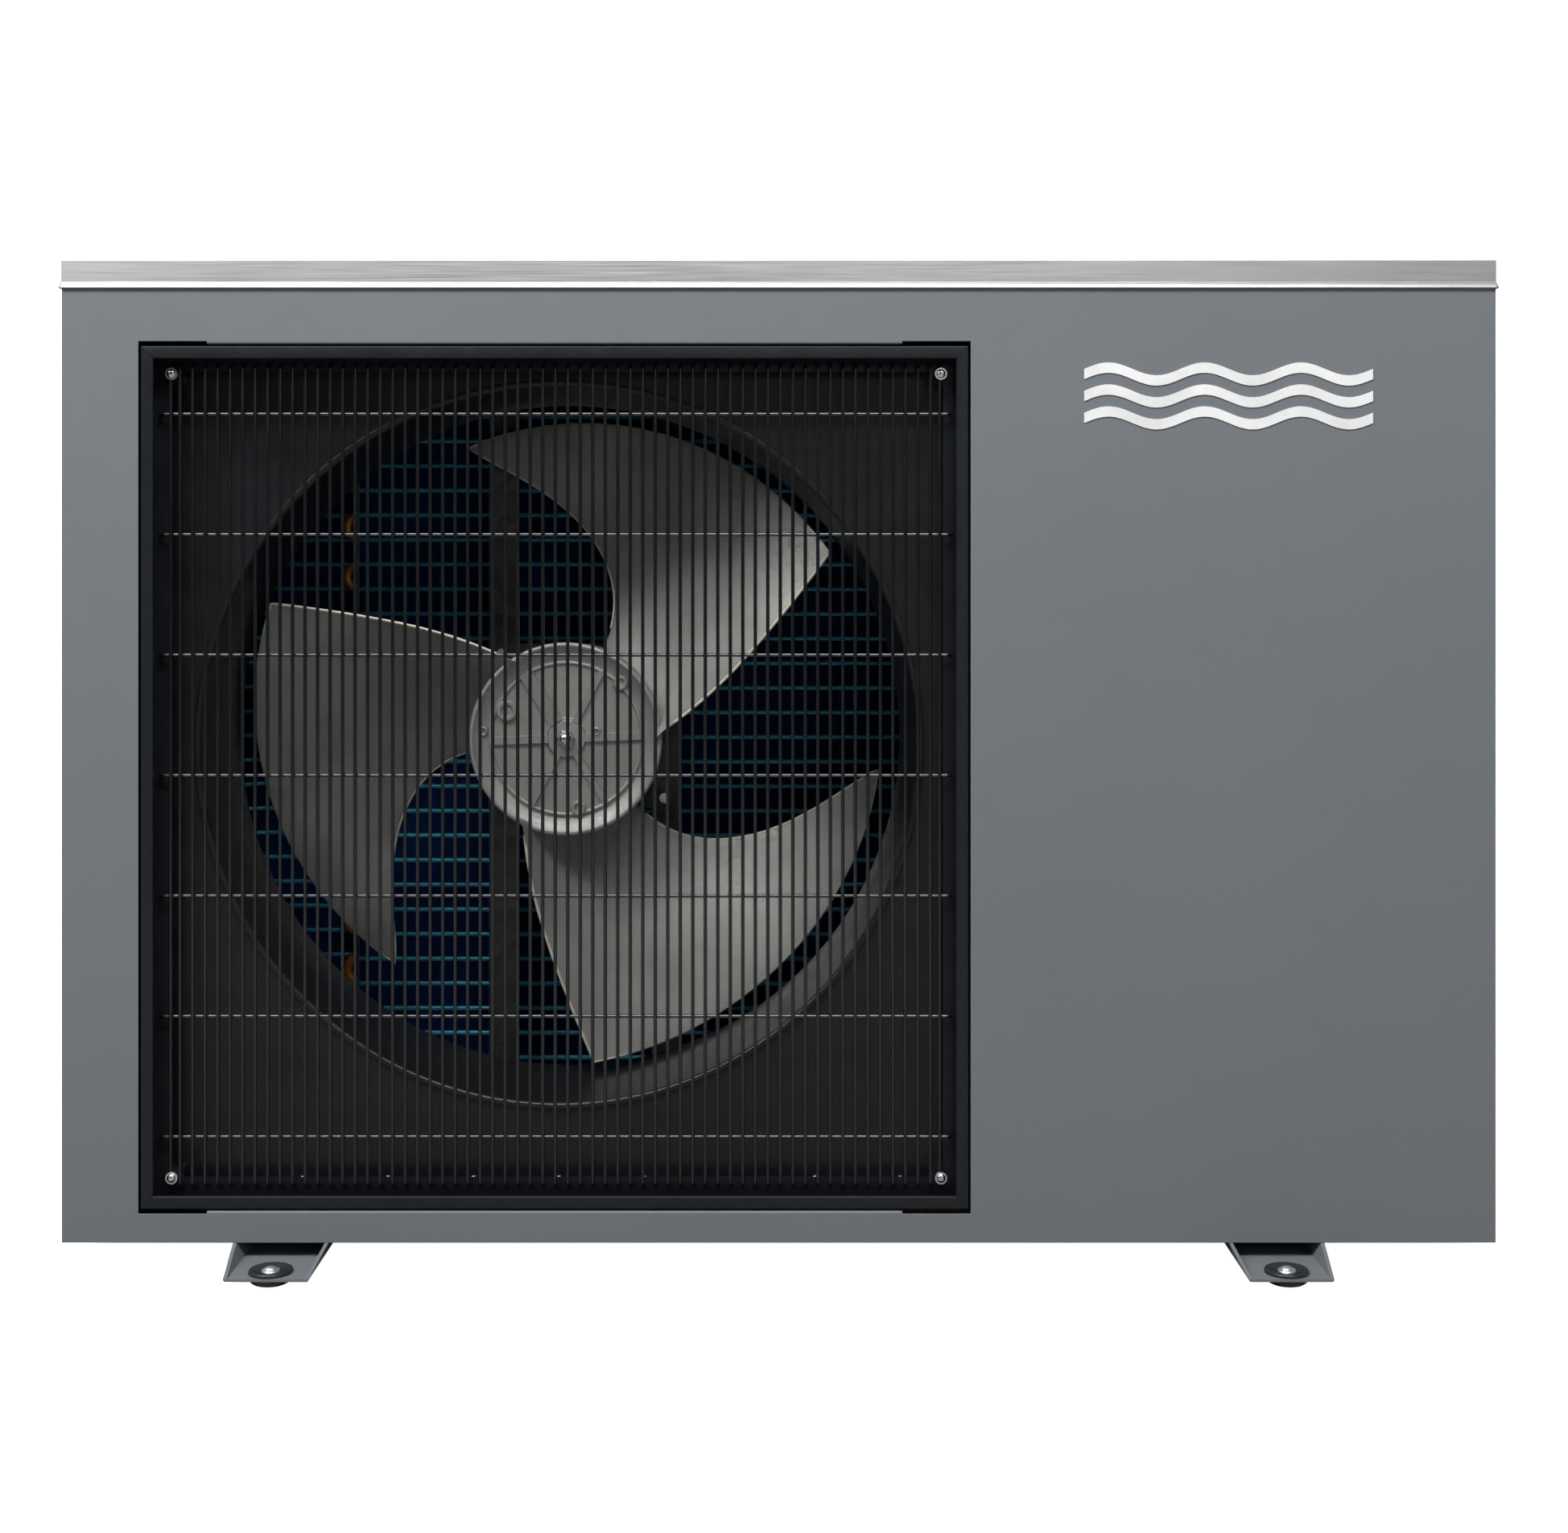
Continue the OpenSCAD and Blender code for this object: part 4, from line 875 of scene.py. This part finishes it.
def make_rubber_feet():
    """Bowl-shaped feet with a dished top, a little proud of the rails' front edges."""
    low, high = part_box("rubber_feet")
    radius, sole_r, bore = 17 * MM, 10 * MM, 6 * MM
    widest, edge = 6 * MM, 1.9 * MM
    profile = [(bore, low.z), (sole_r, low.z)]
    profile += [(sole_r + 7 * MM * math.sin(a), low.z + widest * (1 - math.cos(a)))
                for a in [math.radians(10 * k) for k in range(1, 10)]]
    profile += arc(radius - 2.1 * MM, high.z - edge, edge, 10, 100, 6)
    profile += [(12.5 * MM, high.z - 0.3 * MM), (10.5 * MM, high.z - 0.9 * MM),
                (8.5 * MM, high.z - 1.4 * MM), (bore, high.z - 1.6 * MM)]
    foot = spun(profile, 64, True)
    shapes = [placed(foot, spot) for spot in corner_spots(low, high, radius)]
    add_piece("grommet_feet", joined(shapes), RUBBER,
              stands_for=["rubber_feet"], sharp=50)


def make_foot_bolts():
    """Washer and domed head in the dish of each rubber foot."""
    low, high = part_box("foot_bolts")
    washer_r, washer_t, head_r, side_h = 7 * MM, 1.2 * MM, 4.6 * MM, 1.6 * MM
    base = high.z - 3.6 * MM
    washer = [(0, base), (6.6 * MM, base), (washer_r, base + 0.4 * MM),
              (6.6 * MM, base + washer_t), (0, base + washer_t)]
    head = [(0, base + 1.1 * MM), (head_r, base + 1.1 * MM), (head_r, base + side_h)]
    head += dome(head_r, base + side_h, 2 * MM) + [(0, high.z)]
    bolt = joined([spun(washer, 40), spun(head, 40)])
    shapes = [placed(bolt, spot) for spot in corner_spots(low, high, washer_r)]
    add_piece("foot_bolt_heads", joined(shapes), BOLT,
              stands_for=["foot_bolts"], sharp=30)


def pan_head(x, y, z, radius, height, washer=0.0):
    """Screw head that faces the front and, if its radius is given, a washer under it."""
    head = [(0, y - height)]
    head += [(radius * 0.35, y - height * 0.98), (radius * 0.7, y - height * 0.82),
             (radius * 0.92, y - height * 0.5), (radius, y - height * 0.15), (radius, y), (0, y)]
    shapes = [spun_y(head, x, z, 32)]
    if washer:
        ring = [(0, y - 0.1 * MM), (washer - 0.3 * MM, y - 0.1 * MM), (washer, y + 0.3 * MM),
                (washer, y + 0.9 * MM), (0, y + 0.9 * MM)]
        shapes.append(spun_y(ring, x, z, 40))
    return shapes


def make_grille_screws():
    """Four screws at the guard's corners, on posts, a little in front of its wires."""
    low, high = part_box("grille_screws")
    washer_r, head_r, head_h, post_r = 5 * MM, 3.6 * MM, 2.4 * MM, 2.6 * MM
    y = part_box("guard_wires")[0].y - 0.9 * MM
    post = [(0, y + 0.8 * MM), (post_r, y + 0.8 * MM), (post_r, high.y), (0, high.y)]
    heads = []
    for x in (low.x + washer_r, high.x - washer_r):
        for z in (low.z + washer_r, high.z - washer_r):
            heads += pan_head(x, y, z, head_r, head_h, washer_r)
            heads.append(spun_y(post, x, z, 24))
    add_piece("grille_screw_heads", joined(heads), STEEL,
              stands_for=["grille_screws"], sharp=30)


def make_shroud_screws():
    """A line of screws along the shroud's upper and lower edges."""
    low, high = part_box("shroud_screws")
    head_r, head_h, count = 3 * MM, 2 * MM, 9
    heads = []
    for i in range(count):
        x = low.x + head_r + (high.x - low.x - 2 * head_r) * i / (count - 1)
        for z in (low.z + head_r, high.z - head_r):
            heads += pan_head(x, low.y + head_h, z, head_r, head_h)
    add_piece("shroud_screw_heads", joined(heads), STEEL,
              stands_for=["shroud_screws"], sharp=30)


# ---------------------------------------------------------------- stage


def make_stage():
    """Bright white paper that curves up into a wall and throws little light back at the unit."""
    paper, tree, shader = new_material("paper", (0.82, 0.82, 0.82), 0.95)
    shader.inputs["Specular IOR Level"].default_value = 0
    shader.inputs["Emission Color"].default_value = (1, 1, 1, 1)
    seen = tree.nodes.new("ShaderNodeLightPath").outputs["Is Camera Ray"]
    dull, bright = (0.26, 0.26, 0.26), (0.8, 0.8, 0.8)
    tree.links.new(mixed(tree, seen, dull, bright), shader.inputs["Base Color"])
    tree.links.new(seen, shader.inputs["Emission Strength"])
    width, near_y, wall_y, bend, top = 14.0, -8.0, 3.2, 1.0, 6.0
    line = [(near_y, 0.0)] + arc(wall_y - bend, bend, bend, -90, 0, 12) + [(wall_y, top)]
    verts = [(side * width / 2, y, z) for y, z in line for side in (-1, 1)]
    faces = [(2 * i, 2 * i + 1, 2 * i + 3, 2 * i + 2) for i in range(len(line) - 1)]
    mesh = bpy.data.meshes.new("paper_sweep")
    mesh.from_pydata(verts, [], faces)
    mesh.materials.append(paper)
    mesh.shade_smooth()
    floor = new_object("paper_sweep", mesh)


def area_light(name, place, target, size, radiance):
    """Soft panel light of a given brightness, whatever its size."""
    data = bpy.data.lights.new(name, "AREA")
    data.shape = "RECTANGLE"
    data.size, data.size_y = size
    data.energy = radiance * math.pi * size[0] * size[1]
    light = new_object(name, data)
    light.location = place
    light.rotation_euler = (Vector(target) - Vector(place)).to_track_quat("-Z", "Y").to_euler()


def make_lights():
    """Key from the left, a ceiling panel, a soft light at the rear and a weak front fill.

    The room lights the unit from behind and is dim in front of it, but looks white all round.
    """
    world = bpy.data.worlds.new("studio")
    bpy.context.scene.world = world
    world.use_nodes = True
    tree = world.node_tree
    place = tree.nodes.new("ShaderNodeTexCoord")
    axes = tree.nodes.new("ShaderNodeSeparateXYZ")
    fade = tree.nodes.new("ShaderNodeMapRange")
    fade.inputs["From Min"].default_value = -0.25
    fade.inputs["From Max"].default_value = 0.5
    fade.inputs["To Min"].default_value = 0.05
    fade.inputs["To Max"].default_value = 1.0
    tree.links.new(place.outputs["Generated"], axes.inputs["Vector"])
    tree.links.new(axes.outputs["Y"], fade.inputs["Value"])
    background = tree.nodes["Background"]
    background.inputs["Color"].default_value = (1, 1, 1, 1)
    rays = tree.nodes.new("ShaderNodeLightPath")
    brighter = tree.nodes.new("ShaderNodeMath")
    brighter.operation = "MAXIMUM"
    tree.links.new(rays.outputs["Is Camera Ray"], brighter.inputs[0])
    tree.links.new(fade.outputs["Result"], brighter.inputs[1])
    tree.links.new(brighter.outputs["Value"], background.inputs["Strength"])
    area_light("key_left", (-2.7, -2.2, 2.9), (-0.1, -0.1, 0.4), (1.3, 1.3), 10.0)
    area_light("ceiling", (-0.35, -1.8, 2.8), (-0.1, -0.5, 0.2), (3.7, 0.9), 10.5)
    area_light("rear_soft", (0.4, 2.3, 2.6), (0.0, 0.2, 0.4), (3.0, 1.1), 6.0)
    area_light("fill_front", (2.0, -3.8, 1.45), (0.0, 0.0, 0.75), (4.4, 0.7), 1.05)


def make_camera():
    """Level camera straight in front, shifted down to frame the unit."""
    distance, height = 1.7, 0.547
    data = bpy.data.cameras.new("camera")
    data.sensor_width = 36
    data.lens = 50.3
    data.shift_x, data.shift_y = 0.00205, -0.12936
    data.clip_start, data.clip_end = 0.05, 60
    camera = new_object("camera", data)
    panel_low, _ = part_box("front_panel")
    camera.location = (0.0016, panel_low.y - distance, height)
    camera.rotation_euler = (math.radians(90), 0, 0)
    bpy.context.scene.camera = camera


# ---------------------------------------------------------------- build

make_camera()
make_stage()
make_lights()
colour_cad_nodes()
make_front_panel()
make_lid()
make_grille_frame()
make_shroud()
make_fan()
make_fan_nut()
make_inner_row()
make_outer_row()
make_rubber_feet()
make_foot_bolts()
make_grille_screws()
make_shroud_screws()

bpy.context.scene.view_settings.view_transform = "Standard"
